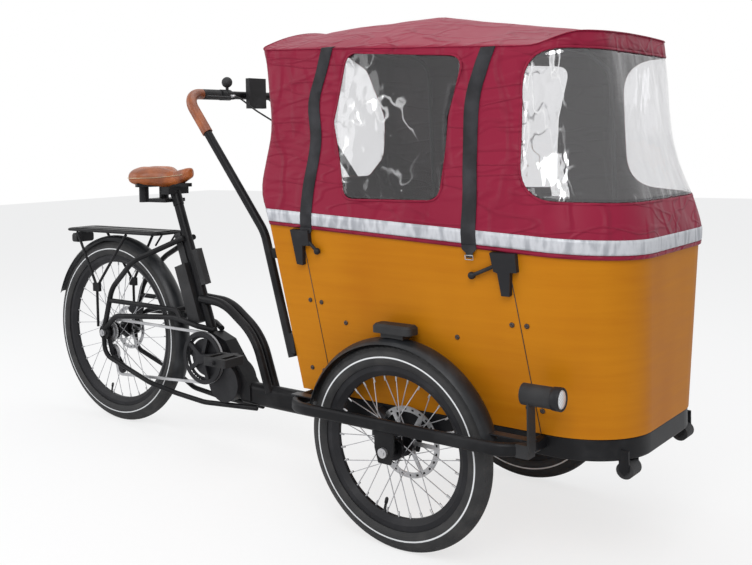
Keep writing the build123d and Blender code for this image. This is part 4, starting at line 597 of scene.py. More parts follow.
class Finishes:
    """The vehicle's shared materials, built once each."""

    def __init__(self) -> None:
        """Build the shared materials."""
        self.frame = Paint(
            "black_powder_coat", (0.007, 0.007, 0.008), roughness=0.34, coat=0.03, shine=0.14,
        ).material()
        self.satin = Paint(
            "satin_black", (0.013, 0.013, 0.015), roughness=0.42, coat=0.03, shine=0.2,
        ).material()
        self.guard = Plastic("guard_black", (0.014, 0.015, 0.017), roughness=0.3, grain=0.00004).material()
        self.steel = Paint("zinc_steel", (0.42, 0.42, 0.43), roughness=0.32, metal=0.9, coat=0.0).material()
        self.bolt = Paint("dark_bolt", (0.05, 0.035, 0.03), roughness=0.36, metal=0.5, coat=0.1).material()
        self.plastic = Plastic("moulded_black", (0.014, 0.014, 0.015)).material()
        self.rubber = Plastic("soft_rubber", (0.020, 0.020, 0.021), roughness=0.62, grain=0.0003).material()
        self.wood = Plywood("varnished_plywood").material()
        self.bare_wood = Plywood("inner_plywood", gloss=0.45).material()
        self.cloth = Cloth("red_canopy_cloth", (0.255, 0.011, 0.038), (0.176, 0.006, 0.025)).material()
        # A near-black sheet inside the canopy: painted shade for the canopy's inside.
        self.painted_shade_cloth = Cloth(
            "painted_shade_lining_cloth", (0.022, 0.008, 0.012), (0.010, 0.005, 0.008),
        ).material()
        self.lining = Cloth("black_seat_cloth", (0.03, 0.03, 0.034), (0.014, 0.014, 0.016)).material()
        self.strap = Webbing("black_webbing").material()
        self.tape = ReflectiveTape("silver_tape").material()
        self.leather = Leather("tan_leather").material()
        self.stitch = Plastic("pale_thread", (0.42, 0.33, 0.22), roughness=0.7).material()
        self.side_pane = ClearSheet("clear_sheet_side", painted_glint=0.42, upright=0.8, grain=7.0).material()
        self.front_pane = ClearSheet("clear_sheet_front", haze=0.05, painted_glint=0.8, relief=0.022).material()
        self.lamp_lens = Lens("clear_lens", (0.78, 0.80, 0.82)).material()
        self.red_lens = Lens("red_lens", (0.42, 0.015, 0.012)).material()
        self.screen = Paint("display_screen", (0.02, 0.024, 0.03), roughness=0.08, coat=1.0).material()


# Meshes


def dress(node: str, material: bpy.types.Material) -> None:
    """Give a CAD node its material."""
    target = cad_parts[node]
    target.data.materials.clear()
    target.data.materials.append(material)
    LOG.info("dressed %s with %s", node, material.name)


def piece(
    name: str, vertices: Iterable[Sequence[float]], faces: Iterable[Sequence[int]],
    material: bpy.types.Material, body: str, smooth: bool = True, slot: str | None = None,
) -> bpy.types.Object:
    """Make a mesh piece that rides on a body.

    Args:
        name: the piece's name.
        vertices: its points in metres.
        faces: its faces as indices of points.
        material: its material.
        body: the body that it rides on.
        smooth: whether its faces are shaded smooth.
        slot: a material slot's name; not used.

    Returns:
        The new object.
    """
    mesh = bpy.data.meshes.new(name)
    mesh.from_pydata([tuple(v) for v in vertices], [], [tuple(f) for f in faces])
    mesh.validate()
    mesh.materials.append(material)
    mesh.shade_smooth() if smooth else mesh.shade_flat()
    made = bpy.data.objects.new(name, mesh)
    bpy.context.scene.collection.objects.link(made)
    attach(made, body)
    LOG.info("made %s: %d faces", name, len(mesh.polygons))
    return made


def apply_modifiers(target: bpy.types.Object) -> None:
    """Replace a piece's mesh by its evaluated one and drop its modifiers."""
    graph = bpy.context.evaluated_depsgraph_get()
    mesh = bpy.data.meshes.new_from_object(target.evaluated_get(graph))
    target.modifiers.clear()
    target.data = mesh


def face_outward(mesh: bpy.types.Mesh) -> None:
    """Turn every face of a closed mesh outwards."""
    work = bmesh.new()
    work.from_mesh(mesh)
    bmesh.ops.recalc_face_normals(work, faces=work.faces)
    work.to_mesh(mesh)
    work.free()


def ring_faces(rings: int, around: int) -> list[tuple[int, ...]]:
    """Return the quads between rings of points that each go once round."""
    return [
        (
            ring * around + index, ring * around + (index + 1) % around,
            (ring + 1) * around + (index + 1) % around, (ring + 1) * around + index,
        )
        for ring in range(rings - 1) for index in range(around)
    ]


def end_faces(rings: int, around: int) -> list[tuple[int, ...]]:
    """Return the two faces that close the first and the last ring."""
    return [tuple(range(around))[::-1], tuple(range((rings - 1) * around, rings * around))]


def frames_along(points: Sequence[Vector]) -> list[tuple[Vector, Vector]]:
    """Return two axes square to a line at each of its points, turning as little as possible."""
    made = []
    side = None
    for index, point in enumerate(points):
        ahead = points[min(index + 1, len(points) - 1)] - points[max(index - 1, 0)]
        ahead.normalize()
        if side is None:
            side = ahead.orthogonal().normalized()
        side = (side - ahead * side.dot(ahead)).normalized()
        made.append((side, ahead.cross(side)))
    return made


def tube_mesh(points: Sequence[Vector], radius: float, sides: int = 10) -> tuple[list, list]:
    """Return the points and faces of a round tube with closed ends.

    Args:
        points: its centre line.
        radius: its radius.
        sides: how many sides it has.

    Returns:
        Points and faces.
    """
    vertices = []
    for point, (side, up) in zip(points, frames_along(points)):
        for index in range(sides):
            turn = math.tau * index / sides
            vertices.append(point + side * (radius * math.cos(turn)) + up * (radius * math.sin(turn)))
    return vertices, ring_faces(len(points), sides) + end_faces(len(points), sides)


def ease(value: float) -> float:
    """Return a smooth rise from 0 to 1 as the value goes from 0 to 1."""
    value = max(0.0, min(1.0, value))
    return value * value * (3 - 2 * value)


def curve_point(a: Vector, b: Vector, c: Vector, d: Vector, t: float) -> Vector:
    """Return the point at a share of the Catmull-Rom stretch from b to c."""
    return 0.5 * (
        2 * b + (c - a) * t + (2 * a - 5 * b + 4 * c - d) * t**2 + (3 * b - a - 3 * c + d) * t**3
    )


def smooth_line(points: Sequence[Point], steps: int = 8) -> list[Vector]:
    """Return a Catmull-Rom line through some points.

    Args:
        points: the points that it passes.
        steps: how many pieces each stretch has.

    Returns:
        The points of the line.
    """
    keys = [Vector(p) for p in points]
    keys = [keys[0] * 2 - keys[1], *keys, keys[-1] * 2 - keys[-2]]
    made = []
    for a, b, c, d in zip(keys, keys[1:], keys[2:], keys[3:]):
        made += [curve_point(a, b, c, d, index / steps) for index in range(steps)]
    made.append(keys[-2])
    return made


def lathe(
    centre: Vector, axis: Vector, profile: Sequence[tuple[float, float]], sides: int = 24,
) -> tuple[list, list]:
    """Return the points and faces of a turned shape.

    Args:
        centre: a point on its axis.
        axis: the axis's direction.
        profile: pairs of radius and distance along the axis.
        sides: how many sides it has.

    Returns:
        Points and faces.
    """
    axis = axis.normalized()
    side = axis.orthogonal().normalized()
    up = axis.cross(side)
    vertices = []
    for radius, along in profile:
        for index in range(sides):
            turn = math.tau * index / sides
            vertices.append(
                centre + axis * along + side * (radius * math.cos(turn)) + up * (radius * math.sin(turn))
            )
    return vertices, ring_faces(len(profile), sides)


def joined(parts: Iterable[tuple[list, list]]) -> tuple[list, list]:
    """Return several meshes as one list of points and one of faces."""
    vertices, faces = [], []
    for part_vertices, part_faces in parts:
        start = len(vertices)
        vertices += part_vertices
        faces += [tuple(start + index for index in face) for face in part_faces]
    return vertices, faces


def bolt(place: Vector, outward: Vector, radius: float, height: float = 0.0035) -> tuple[list, list]:
    """Return a domed bolt head with a socket in it.

    Args:
        place: where it sits.
        outward: the way it faces.
        radius: the head's radius.
        height: the head's height.

    Returns:
        Points and faces.
    """
    profile = [
        (radius, -0.0004), (radius, height * 0.3), (radius * 0.86, height * 0.75), (radius * 0.55, height),
        (radius * 0.42, height), (radius * 0.36, height * 0.35), (0.00001, height * 0.35),
    ]
    return lathe(place, outward, profile, sides=20)


def pillow(
    centre: Vector, axes: tuple[Vector, Vector, Vector], size: tuple[float, float], corner: float,
    levels: Sequence[tuple[float, float]],
) -> tuple[list, list]:
    """Return a plate with round corners, built up in levels.

    Args:
        centre: the middle of its foot.
        axes: its directions across, up and out.
        size: its width and height.
        corner: radius of its corners.
        levels: pairs of inset and height, from the foot to the top.

    Returns:
        Points and faces.
    """
    across, up, out = axes
    steps = 6
    vertices = []
    for inset, lift in levels:
        radius = max(corner - inset, 0.0005)
        half_across, half_up = size[0] / 2 - inset - radius, size[1] / 2 - inset - radius
        for quarter, (sign_across, sign_up) in enumerate(((1, 1), (-1, 1), (-1, -1), (1, -1))):
            for step in range(steps + 1):
                turn = math.pi / 2 * (quarter + step / steps)
                vertices.append(
                    centre + across * (sign_across * half_across + radius * math.cos(turn))
                    + up * (sign_up * half_up + radius * math.sin(turn)) + out * lift
                )
    count = 4 * (steps + 1)
    return vertices, ring_faces(len(levels), count) + end_faces(len(levels), count)


# The canopy's sheet


@dataclass
class Outline:
    """A rounded plan outline in a plane that slopes along X."""

    back: float
    front: float
    half_back: float
    half_front: float
    back_radius: float
    front_radius: float
    z: float
    fall: float

    def points(self, side: int = 26, corner: int = 12, end: int = 14) -> list[Vector]:
        """Return its points from the middle of the back round by the right side.

        Args:
            side: how many points lie on each side.
            corner: how many lie on each corner.
            end: how many lie on each half of the back and the front.

        Returns:
            The points, in metres in the frame.
        """
        right: list[tuple[float, float]] = []
        back_y, front_y = self.half_back - self.back_radius, self.half_front - self.front_radius
        for index in range(end):
            right.append((self.back, -back_y * index / end))
        for index in range(corner):
            turn = math.pi / 2 * index / corner
            right.append((
                self.back + self.back_radius * (1 - math.cos(turn)),
                -back_y - self.back_radius * math.sin(turn),
            ))
        start, stop = self.back + self.back_radius, self.front - self.front_radius
        for index in range(side):
            t = index / side
            narrow = (self.half_back - self.half_front) * t
            right.append((start + (stop - start) * t, -self.half_back + narrow))
        for index in range(corner):
            turn = math.pi / 2 * index / corner
            right.append((
                stop + self.front_radius * math.sin(turn), -front_y - self.front_radius * math.cos(turn),
            ))
        for index in range(end + 1):
            right.append((self.front, -front_y * (1 - index / end)))
        whole = right + [(x, -y) for x, y in right[-2:0:-1]]
        return [Vector((FRONT_X + x, y, self.z - self.fall * x)) for x, y in whole]


def side_point(side: Side, x: float, z: float, out: float = 0.0) -> Vector:
    """Return a point that stands off a side panel's outer face, with X from the front axle."""
    return Vector((FRONT_X + x, side.value * (BOX_FLOOR_HALF + (z - BOX_FLOOR_Z) * BOX_LEAN + out), z))


def box_outline(back_z: float, front_z: float, grow: float) -> Outline:
    """Return the outline round the box at a sloping height.

    Args:
        back_z: its height at the box's back.
        front_z: its height at the box's nose.
        grow: how far it lies outside the panels.

    Returns:
        The outline.
    """
    back = BOX_BACK - (back_z - BOX_FLOOR_Z) * BOX_BACK_LEAN
    nose = BOX_NOSE + (front_z - BOX_FLOOR_Z) * BOX_NOSE_LEAN
    fall = (back_z - front_z) / (nose - back)
    return Outline(
        back - grow, nose + grow,
        BOX_FLOOR_HALF + (back_z - BOX_FLOOR_Z) * BOX_LEAN + grow,
        BOX_FLOOR_HALF + (front_z - BOX_FLOOR_Z) * BOX_LEAN + grow,
        BOX_BACK_RADIUS, nose - BOX_CORNER + grow, back_z + back * fall, fall,
    )


# How far the middle of each layer lies outside the cloth's middle, and how thick it is. The lining is a
# near-black sheet inside the cloth: painted shade for the canopy's inside.
LAYERS = {
    "cloth": (0.0, 0.0012), "lining": (-0.0013, 0.0004), "pane": (-0.0004, 0.0005),
    "binding": (0.0008, 0.0010), "tape": (0.0011, 0.0008), "hem": (0.0009, 0.0016),
    "strap": (0.0024, 0.0014),
}


@dataclass
class RainCanopy:
    """The red canopy: one curved sheet with clear windows, tape, straps and bindings.

    X is measured from the front axle in its tables, and Z from the floor.
    """

    finishes: Finishes
    gap: float = 0.004
    hem_back: float = 0.789
    hem_front: float = 0.735
    wall_rows: tuple[int, ...] = (2, 4, 7, 8, 4)
    roof_rows: int = 16
    ridge_z: float = 1.333
    ridge_fall: float = 0.186
    ridge_bend: float = -0.03
    eave_z: float = 1.235
    eave_fall: float = 0.0743
    eave_half: float = 0.293
    brow_start: float = 0.33
    brow_length: float = 0.12
    brow_rise: float = 0.032
    eave_x: tuple[float, float] = (-0.458, 0.465)
    crown_back: float = -0.33
    crown_length: float = 0.68
    crown_half: float = 0.11
    roof_sag: float = 0.006
    fold: float = 0.0046
    held_rows: int = 5
    eave_hold: float = 2.2
    eave_least: float = 0.25
    roof_share: float = 0.6
    side_window: tuple = (
        (-0.156, 1.234), (0.176, 1.201), (0.138, 1.060), (0.118, 0.862), (-0.150, 0.862), (-0.198, 1.060),
    )
    front_window: tuple = ((0.322, 0.868), (0.322, 1.205), (0.420, 1.200), (0.900, 1.168), (0.900, 0.838))
    rear_window: tuple = (
        (0.08, 1.285), (0.215, 1.232), (0.276, 1.09), (0.270, 0.955), (0.20, 0.900),
        (-0.20, 0.900), (-0.270, 0.955), (-0.276, 1.09), (-0.215, 1.232), (-0.08, 1.285),
    )
    side_corner: float = 0.034
    front_corner: float = 0.088
    rear_corner: float = 0.045
    band_corner: float = 0.001
    straps: tuple = (
        (
            (-0.219, 1.256), (-0.236, 1.200), (-0.263, 1.114), (-0.252, 1.014), (-0.262, 0.900),
            (-0.273, 0.765),
        ),
        ((0.239, 1.216), (0.220, 1.165), (0.200, 1.090), (0.197, 0.962), (0.203, 0.860), (0.203, 0.742)),
    )
    strap_half: float = 0.0185
    # How far the panes, and a binding's outer and inner edges, go past a window's opening.
    pane_lap: float = 0.003
    binding_out: float = 0.005
    binding_in: float = -0.0005
    # The tape and the hem's binding, as distances up from the hem, and where the hem's height is known.
    tape_band: tuple[float, float] = (0.010, 0.043)
    hem_band: tuple[float, float] = (-0.03, 0.0085)
    hem_x: tuple[float, float] = (-0.404, 0.549)
    band_x: tuple[float, float] = (-0.6, 0.7)
    piping_radius: float = 0.0016
    piping_out: float = 0.001
    # Each strap's lower end as X and Z, then its half widths by drop and its two faces off the panel.
    strap_feet: tuple = ((-0.273, 0.785), (0.203, 0.762))
    strap_rows: tuple = ((0.0185, 0.0), (0.0185, 0.010), (0.0085, 0.019), (0.0080, 0.030))
    strap_faces: tuple[float, float] = (0.0064, 0.0082)
    buckle: tuple = ((-0.010, 0.024), (0.010, 0.024), (0.010, 0.034), (-0.010, 0.034), (-0.010, 0.024))
    buckle_out: float = 0.0095
    buckle_radius: float = 0.0014
    # The cutters' round corners and how far they run.
    corner_steps: int = 10
    cut_back: tuple[float, float] = (-0.7, -0.3)
    cut_across: tuple[float, float] = (-0.8, 0.8)
    # The flat cloth that the canopy is cut from.
    cut_size: tuple[float, float] = (1.78, 2.06)
    cut_area: float = 1.42

    def levels(self) -> list[Outline]:
        """Return the outlines that the walls pass through, from the hem to the eave."""
        return [
            box_outline(self.hem_back, self.hem_front, self.gap),
            box_outline(RIM_BACK_Z + 0.006, RIM_FRONT_Z + 0.006, self.gap + 0.001),
            Outline(-0.438, 0.541, 0.333, 0.324, 0.030, BOX_TOP_RADIUS + 0.004, 0.868, 0.060),
            Outline(-0.426, 0.508, 0.309, 0.306, 0.035, 0.200, 1.010, 0.074),
            Outline(-0.446, 0.482, 0.298, 0.297, 0.035, 0.150, 1.168, 0.080),
            Outline(*self.eave_x, 0.296, self.eave_half, 0.035, 0.125, 1.237, self.eave_fall),
        ]

    def roof_height(self, x: float, y: float) -> float:
        """Return the roof's height at a place, with X from the front axle."""
        ridge = self.ridge_z - self.ridge_fall * max(0.0, x - self.ridge_bend)
        brow = self.brow_rise * ease((x - self.brow_start) / self.brow_length)
        eave = self.eave_z - self.eave_fall * x + brow
        share = min(1.0, abs(y) / self.eave_half)
        return eave + (ridge - eave) * (1 - share**1.9)

    def crease(self, point: Vector, share: float) -> float:
        """Return how far the cloth stands in or out at a point.

        Args:
            point: the point on the smooth sheet.
            share: 0 where the cloth is held and 1 where it is free.

        Returns:
            The distance along the normal, in metres.
        """
        drawn = Vector((point.x * 5.0 + point.z * 3.2, point.y * 5.0, point.z * 2.2 - point.x * 1.4))
        folds = 1 - 2 * abs(noise.noise(drawn))
        soft = noise.noise(point * 3.1)
        pleats = noise.noise(Vector((point.x * 22.0, point.y * 22.0, point.z * 3.0)))
        return share * self.fold * (0.9 * (folds - 0.6) + 0.9 * soft + 0.35 * pleats)

    def sheet(self) -> tuple[list[Vector], list[tuple[int, ...]], int]:
        """Return the sheet's points, its faces and the count of points in a row."""
        keys = [level.points() for level in self.levels()]
        keys[-1] = [Vector((p.x, p.y, self.roof_height(p.x - FRONT_X, p.y))) for p in keys[-1]]
        count = len(keys[0])
        columns = []
        for index in range(count):
            line = [key[index] for key in keys]
            line = [line[0] * 2 - line[1], *line, line[-1] * 2 - line[-2]]
            column = []
            for stretch, step in enumerate(self.wall_rows):
                near = line[stretch:stretch + 4]
                column += [curve_point(*near, part / step) for part in range(step)]
            column.append(line[-2])
            top = line[-2]
            share = (top.x - FRONT_X - self.eave_x[0]) / (self.eave_x[1] - self.eave_x[0])
            crown_x = FRONT_X + self.crown_back + self.crown_length * share
            crown = Vector((crown_x, top.y * self.crown_half, 0.0))
            for part in range(1, self.roof_rows + 1):
                t = part / self.roof_rows
                point = top.lerp(crown, t)
                sag = self.roof_sag * math.sin(math.pi * t) ** 2
                point.z = self.roof_height(point.x - FRONT_X, point.y) - sag
                column.append(point)
            columns.append(column)
        rows = len(columns[0])
        wall = sum(self.wall_rows)
        points = []
        for row in range(rows):
            free = min(1.0, row / self.held_rows) if row <= wall else self.roof_share
            if row > self.held_rows:
                free *= max(self.eave_least, 1 - math.exp(-(((row - wall) / self.eave_hold) ** 2)))
            for index in range(count):
                here = columns[index][row]
                before, after = columns[index - 1][row], columns[(index + 1) % count][row]
                below, above = columns[index][max(row - 1, 0)], columns[index][min(row + 1, rows - 1)]
                normal = (after - before).cross(above - below)
                normal = normal.normalized() if normal.length > 1e-9 else Vector((0, 0, 1))
                points.append(here + normal * self.crease(here, free))
        faces = ring_faces(rows, count)
        last = (rows - 1) * count
        half = count // 2
        for index in range(half):
            a, b = last + index, last + index + 1
            c, d = last + (count - index - 1) % count, last + (count - index) % count
            faces.append(tuple(dict.fromkeys((a, b, c, d))))
        return points, [f for f in faces if len(f) > 2], count

    def shell(self, name: str, layer: str, material: bpy.types.Material) -> bpy.types.Object:
        """Return the whole sheet as a thin solid, as one of the layers."""
        lift, thickness = LAYERS[layer]
        points, faces, _ = self.sheet()
        made = piece(name, points, faces, material, "front_module")
        if lift:
            for vertex, normal in [(v, v.normal.copy()) for v in made.data.vertices]:
                vertex.co += normal * lift
        solid = made.modifiers.new("thickness", "SOLIDIFY")
        solid.thickness = thickness
        solid.offset = 0.0
        apply_modifiers(made)
        return made

    def prism(
        self, corners: Sequence[tuple[float, float]], radius: float, grow: float = 0.0,
        through_back: bool = False,
    ) -> bpy.types.Object:
        """Return a hidden cutter: an outline with round corners, run across or along the vehicle.

        Args:
            corners: X from the front axle and Z, or Y and Z for one that runs through the back.
            radius: radius of the corners, or 0 where they are sharp.
            grow: how far the outline is moved outwards, where they are round.
            through_back: whether it runs through the back instead of across.

        Returns:
            The cutter.
        """
        count = len(corners)
        area = sum(
            corners[i][0] * corners[(i + 1) % count][1] - corners[(i + 1) % count][0] * corners[i][1]
            for i in range(count)
        )
        ring = []
        for index in range(count):
            here = Vector(corners[index])
            if not radius:
                ring.append(here)
                continue
            back = (Vector(corners[index - 1]) - here).normalized()
            ahead = (Vector(corners[(index + 1) % count]) - here).normalized()
            bend = math.acos(max(-1.0, min(1.0, back.dot(ahead))))
            reach = (radius + grow) / math.tan(bend / 2)
            out = -(back + ahead).normalized() * (grow / math.sin(bend / 2))
            here = here + out
            first, last = here + back * reach, here + ahead * reach
            for step in range(self.corner_steps + 1):
                t = step / self.corner_steps
                ring.append(first * (1 - t) ** 2 + here * 2 * t * (1 - t) + last * t**2)
        if area > 0:
            ring.reverse()
        if through_back:
            vertices = [(FRONT_X + x, p.x, p.y) for x in self.cut_back for p in ring]
        else:
            vertices = [(FRONT_X + p.x, y, p.y) for y in self.cut_across for p in ring]
        size = len(ring)
        faces = [tuple(range(size))[::-1], tuple(range(size, 2 * size))]
        faces += [(i, (i + 1) % size, size + (i + 1) % size, size + i) for i in range(size)]
        mesh = bpy.data.meshes.new("cutter")
        mesh.from_pydata(vertices, [], faces)
        face_outward(mesh)
        made = bpy.data.objects.new("cutter", mesh)
        bpy.context.scene.collection.objects.link(made)
        made.hide_render = True
        return made

    def cut(self, target: bpy.types.Object, cutter: bpy.types.Object, operation: str) -> None:
        """Cut a piece with a cutter and remove the cutter."""
        modifier = target.modifiers.new("cut", "BOOLEAN")
        modifier.object = cutter
        modifier.operation = operation
        modifier.solver = "EXACT"
        apply_modifiers(target)
        bpy.data.objects.remove(cutter)

    def hem_line(self, x: float, up: float) -> float:
        """Return the height of a line that runs along the hem, up from it by a distance."""
        back, front = self.hem_x
        return self.hem_back + (self.hem_front - self.hem_back) * (x - back) / (front - back) + up

    def band(self, low: float, high: float) -> list[tuple[float, float]]:
        """Return the side-view corners of a band between two distances up from the hem."""
        back, front = self.band_x
        places = ((back, low), (front, low), (front, high), (back, high))
        return [(x, self.hem_line(x, up)) for x, up in places]

    def build(self) -> None:
        """Build the cloth, the windows and everything sewn on."""
        cloth = self.shell("canopy_cloth", "cloth", self.finishes.cloth)
        # The lining is painted shade: a near-black sheet that darkens the canopy's inside.
        lining = self.shell("canopy_painted_shade_lining", "lining", self.finishes.painted_shade_cloth)
        windows = (
            ("side", self.side_window, self.side_corner, False),
            ("front", self.front_window, self.front_corner, False),
            ("rear", self.rear_window, self.rear_corner, True),
        )
        for target in (cloth, lining):
            for _, corners, radius, back in windows:
                self.cut(target, self.prism(corners, radius, through_back=back), "DIFFERENCE")
        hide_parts("canopy")

        sewn = []
        for label, corners, radius, back in windows:
            finish = self.finishes.front_pane if label == "front" else self.finishes.side_pane
            pane = self.shell(f"window_{label}", "pane", finish)
            self.cut(pane, self.prism(corners, radius, self.pane_lap, back), "INTERSECT")
            if label == "side":
                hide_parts("canopy_windows")
            edge = self.shell(f"window_binding_{label}", "binding", self.finishes.cloth)
            self.cut(edge, self.prism(corners, radius, self.binding_out, back), "INTERSECT")
            self.cut(edge, self.prism(corners, radius, self.binding_in, back), "DIFFERENCE")
            sewn += [pane, edge]

        tape = self.shell("reflective_tape", "tape", self.finishes.tape)
        self.cut(tape, self.prism(self.band(*self.tape_band), self.band_corner), "INTERSECT")
        hem = self.shell("hem_binding", "hem", self.finishes.cloth)
        self.cut(hem, self.prism(self.band(*self.hem_band), self.band_corner), "INTERSECT")
        for index, line in enumerate(self.straps):
            strap = self.shell(f"roof_strap_{index + 1}", "strap", self.finishes.strap)
            middle = [(p.x, p.z) for p in smooth_line([(x, 0.0, z) for x, z in line], 4)]
            corners = [(x - self.strap_half, z) for x, z in middle]
            corners += [(x + self.strap_half, z) for x, z in reversed(middle)]
            self.cut(strap, self.prism(corners, 0.0), "INTERSECT")
            sewn.append(strap)
        sewn += [lining, tape, hem, self.piping(), *self.tabs()]

    def piping(self) -> bpy.types.Object:
        """Sew a thin cord along the eave and return it."""
        points, _, count = self.sheet()
        row = sum(self.wall_rows)
        line = [points[row * count + index] for index in range(count)]
        line.append(line[0])
        centre = sum(line, Vector()) / len(line)
        lifted = [p + (p - centre).normalized() * self.piping_out for p in line]
        tube = tube_mesh(lifted, self.piping_radius, 6)
        return piece("eave_piping", *tube, self.finishes.cloth, "front_module", slot="canopy")

    def tabs(self) -> list[bpy.types.Object]:
        """Hang the straps' narrow ends and their buckles below the hem, and return both."""
        ends, loops = [], []
        for side in Side:
            for x, top in self.strap_feet:
                face = [
                    side_point(side, x + sign * half, top - drop, out)
                    for out in self.strap_faces for half, drop in self.strap_rows for sign in (-1, 1)
                ]
                size, faces = len(self.strap_rows) * 2, []
                for ring in range(len(self.strap_rows) - 1):
                    a, b = ring * 2, ring * 2 + 1
                    c, d = a + 3, a + 2
                    faces += [(a, b, c, d), (a + size, d + size, c + size, b + size)]
                    faces += [(a, d, d + size, a + size), (b, b + size, c + size, c)]
                faces += [(0, size, size + 1, 1), (size - 2, size - 1, 2 * size - 1, 2 * size - 2)]
                ends.append((face, faces))
                loop = [
                    side_point(side, x + ahead, top - drop, self.buckle_out) for ahead, drop in self.buckle
                ]
                loops.append(tube_mesh(loop, self.buckle_radius, 6))
        strap, steel = self.finishes.strap, self.finishes.steel
        return [
            piece("strap_ends", *joined(ends), strap, "front_module", smooth=False, slot="canopy"),
            piece("strap_buckles", *joined(loops), steel, "front_module", slot="steel"),
        ]


# Soft goods


STUFFING_FRAMES = 20


def stuffed(target: bpy.types.Object, voxel: float, cap: float, pressure: float = 4.0) -> None:
    """Swell a closed form by a cloth simulation, then smooth it.

    Args:
        target: the piece, whose mesh is changed.
        voxel: the size of the new faces.
        cap: how far a point may move, in metres.
        pressure: how hard the filling pushes.
    """
    remesh = target.modifiers.new("even", "REMESH")
    remesh.mode = "VOXEL"
    remesh.voxel_size = voxel
    apply_modifiers(target)
    before = [v.co.copy() for v in target.data.vertices]
    cloth = target.modifiers.new("stuffing", "CLOTH")
    cloth.settings.use_pressure = True
    cloth.settings.uniform_pressure_force = pressure
    cloth.settings.effector_weights.gravity = 0
    cloth.settings.quality = 5
    scene = bpy.context.scene
    scene.frame_start, scene.frame_end = 1, STUFFING_FRAMES
    for step in range(1, STUFFING_FRAMES + 1):
        scene.frame_set(step)
    graph = bpy.context.evaluated_depsgraph_get()
    swollen = [v.co.copy() for v in target.evaluated_get(graph).data.vertices]
    target.modifiers.clear()
    scene.frame_set(1)
    for vertex, old, new in zip(target.data.vertices, before, swollen):
        move = new - old
        if move.length > cap:
            move *= cap / move.length
        vertex.co = old + move
    smooth = target.modifiers.new("smooth", "SMOOTH")
    smooth.iterations = 3
    finer = target.modifiers.new("finer", "SUBSURF")
    finer.levels = finer.render_levels = 1
    apply_modifiers(target)
    target.data.shade_smooth()


@dataclass
class SaddleTop:
    """The padded saddle: broad back, dished middle and a raised round nose."""

    finishes: Finishes
    nose_x: float = FRONT_X - 1.028
    length: float = 0.262
    half_back: float = 0.104
    half_nose: float = 0.0252
    nose_round: float = 0.12
    tail_round: float = 0.20
    flare_from: float = 0.30
    flare_over: float = 0.42
    top_z: float = 0.938
    skirt: float = 0.061
    dish: float = 0.012
    dish_end: float = 0.62
    nose_drop: float = 0.004
    groove: float = 0.006
    groove_half: float = 0.012
    groove_from: float = 0.25
    # The seam's shares of the length back from the nose, its radius and how far it stands out and hangs.
    seam_shares: tuple[float, ...] = (0.10, 0.2, 0.3, 0.4, 0.5, 0.6, 0.7, 0.8, 0.88, 0.94)
    seam_radius: float = 0.0011
    seam_out: float = 0.0005
    seam_drop: float = 0.024
    seam_fall: float = 0.012
    rings: int = 41
    around: int = 36

    def half_width(self, t: float) -> float:
        """Return the half width at a share of the length back from the nose."""
        flare = ease((t - self.flare_from) / self.flare_over)
        half = self.half_nose + (self.half_back - self.half_nose) * flare
        for left, rounding in ((t, self.nose_round), (1 - t, self.tail_round)):
            if left < rounding:
                half *= math.sqrt(max(0.0, 1 - ((rounding - left) / rounding) ** 2)) * 0.999 + 0.001
        return half

    def build(self) -> None:
        """Build the cover and its seam."""
        rings, around = self.rings, self.around
        vertices = []
        for ring in range(rings):
            t = ring / (rings - 1)
            x = self.nose_x - self.length * t
            half = self.half_width(t)
            dish = self.dish * math.sin(math.pi * min(1.0, t / self.dish_end)) ** 2
            crown = self.top_z - dish - self.nose_drop * (1 - t)
            drop = self.skirt * (0.55 + 0.45 * min(1.0, t / 0.5))
            groove = self.groove if t > self.groove_from else 0.0
            for index in range(around):
                turn = math.tau * index / around
                wide, high = math.cos(turn), math.sin(turn)
                y = half * math.copysign(abs(wide) ** 0.75, wide)
                if high >= 0:
                    dent = groove * math.exp(-((y / self.groove_half) ** 2))
                    z = crown - drop * 0.55 * (1 - high ** 0.8) - dent
                else:
                    z = crown - drop * 0.55 - drop * 0.45 * abs(high) ** 0.6
                vertices.append((x, y, z))
        faces = ring_faces(rings, around) + end_faces(rings, around)
        made = piece("saddle_cover", vertices, faces, self.finishes.leather, "rear_frame", slot="leather")
        face_outward(made.data)
        stuffed(made, voxel=0.005, cap=0.004)
        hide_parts("saddle")
        seam = []
        for side in Side:
            line = [
                Vector((
                    self.nose_x - self.length * t, side.value * (self.half_width(t) + self.seam_out),
                    self.top_z - self.seam_drop - self.seam_fall * min(1.0, t / 0.5),
                ))
                for t in self.seam_shares
            ]
            seam.append(tube_mesh(smooth_line(line, 4), self.seam_radius, 6))
        piece("saddle_seam", *joined(seam), self.finishes.stitch, "rear_frame", slot="leather")


@dataclass
class BenchPad:
    """The padded cushion on the bench."""

    finishes: Finishes
    inset: float = 0.006
    edge: float = 0.008

    def build(self) -> None:
        """Build the cushion from its CAD solid's box."""
        low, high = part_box("bench_cushion")
        low, high = low + Vector((self.inset,) * 3), high - Vector((self.inset,) * 3)
        grid = bmesh.new()
        bmesh.ops.create_cube(grid, size=1.0)
        for vertex in grid.verts:
            vertex.co = Vector(
                (low[axis] + (high[axis] - low[axis]) * (vertex.co[axis] + 0.5) for axis in range(3))
            )
        bmesh.ops.bevel(
            grid, geom=list(grid.edges), offset=self.edge, segments=3, affect="EDGES", profile=0.6,
        )
        mesh = bpy.data.meshes.new("bench_pad")
        grid.to_mesh(mesh)
        grid.free()
        vertices = [tuple(v.co) for v in mesh.vertices]
        faces = [tuple(p.vertices) for p in mesh.polygons]
        made = piece("bench_pad", vertices, faces, self.finishes.lining, "front_module", slot="cushion")
        stuffed(made, voxel=0.008, cap=0.006)
        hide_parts("bench_cushion")


# Sub-assemblies


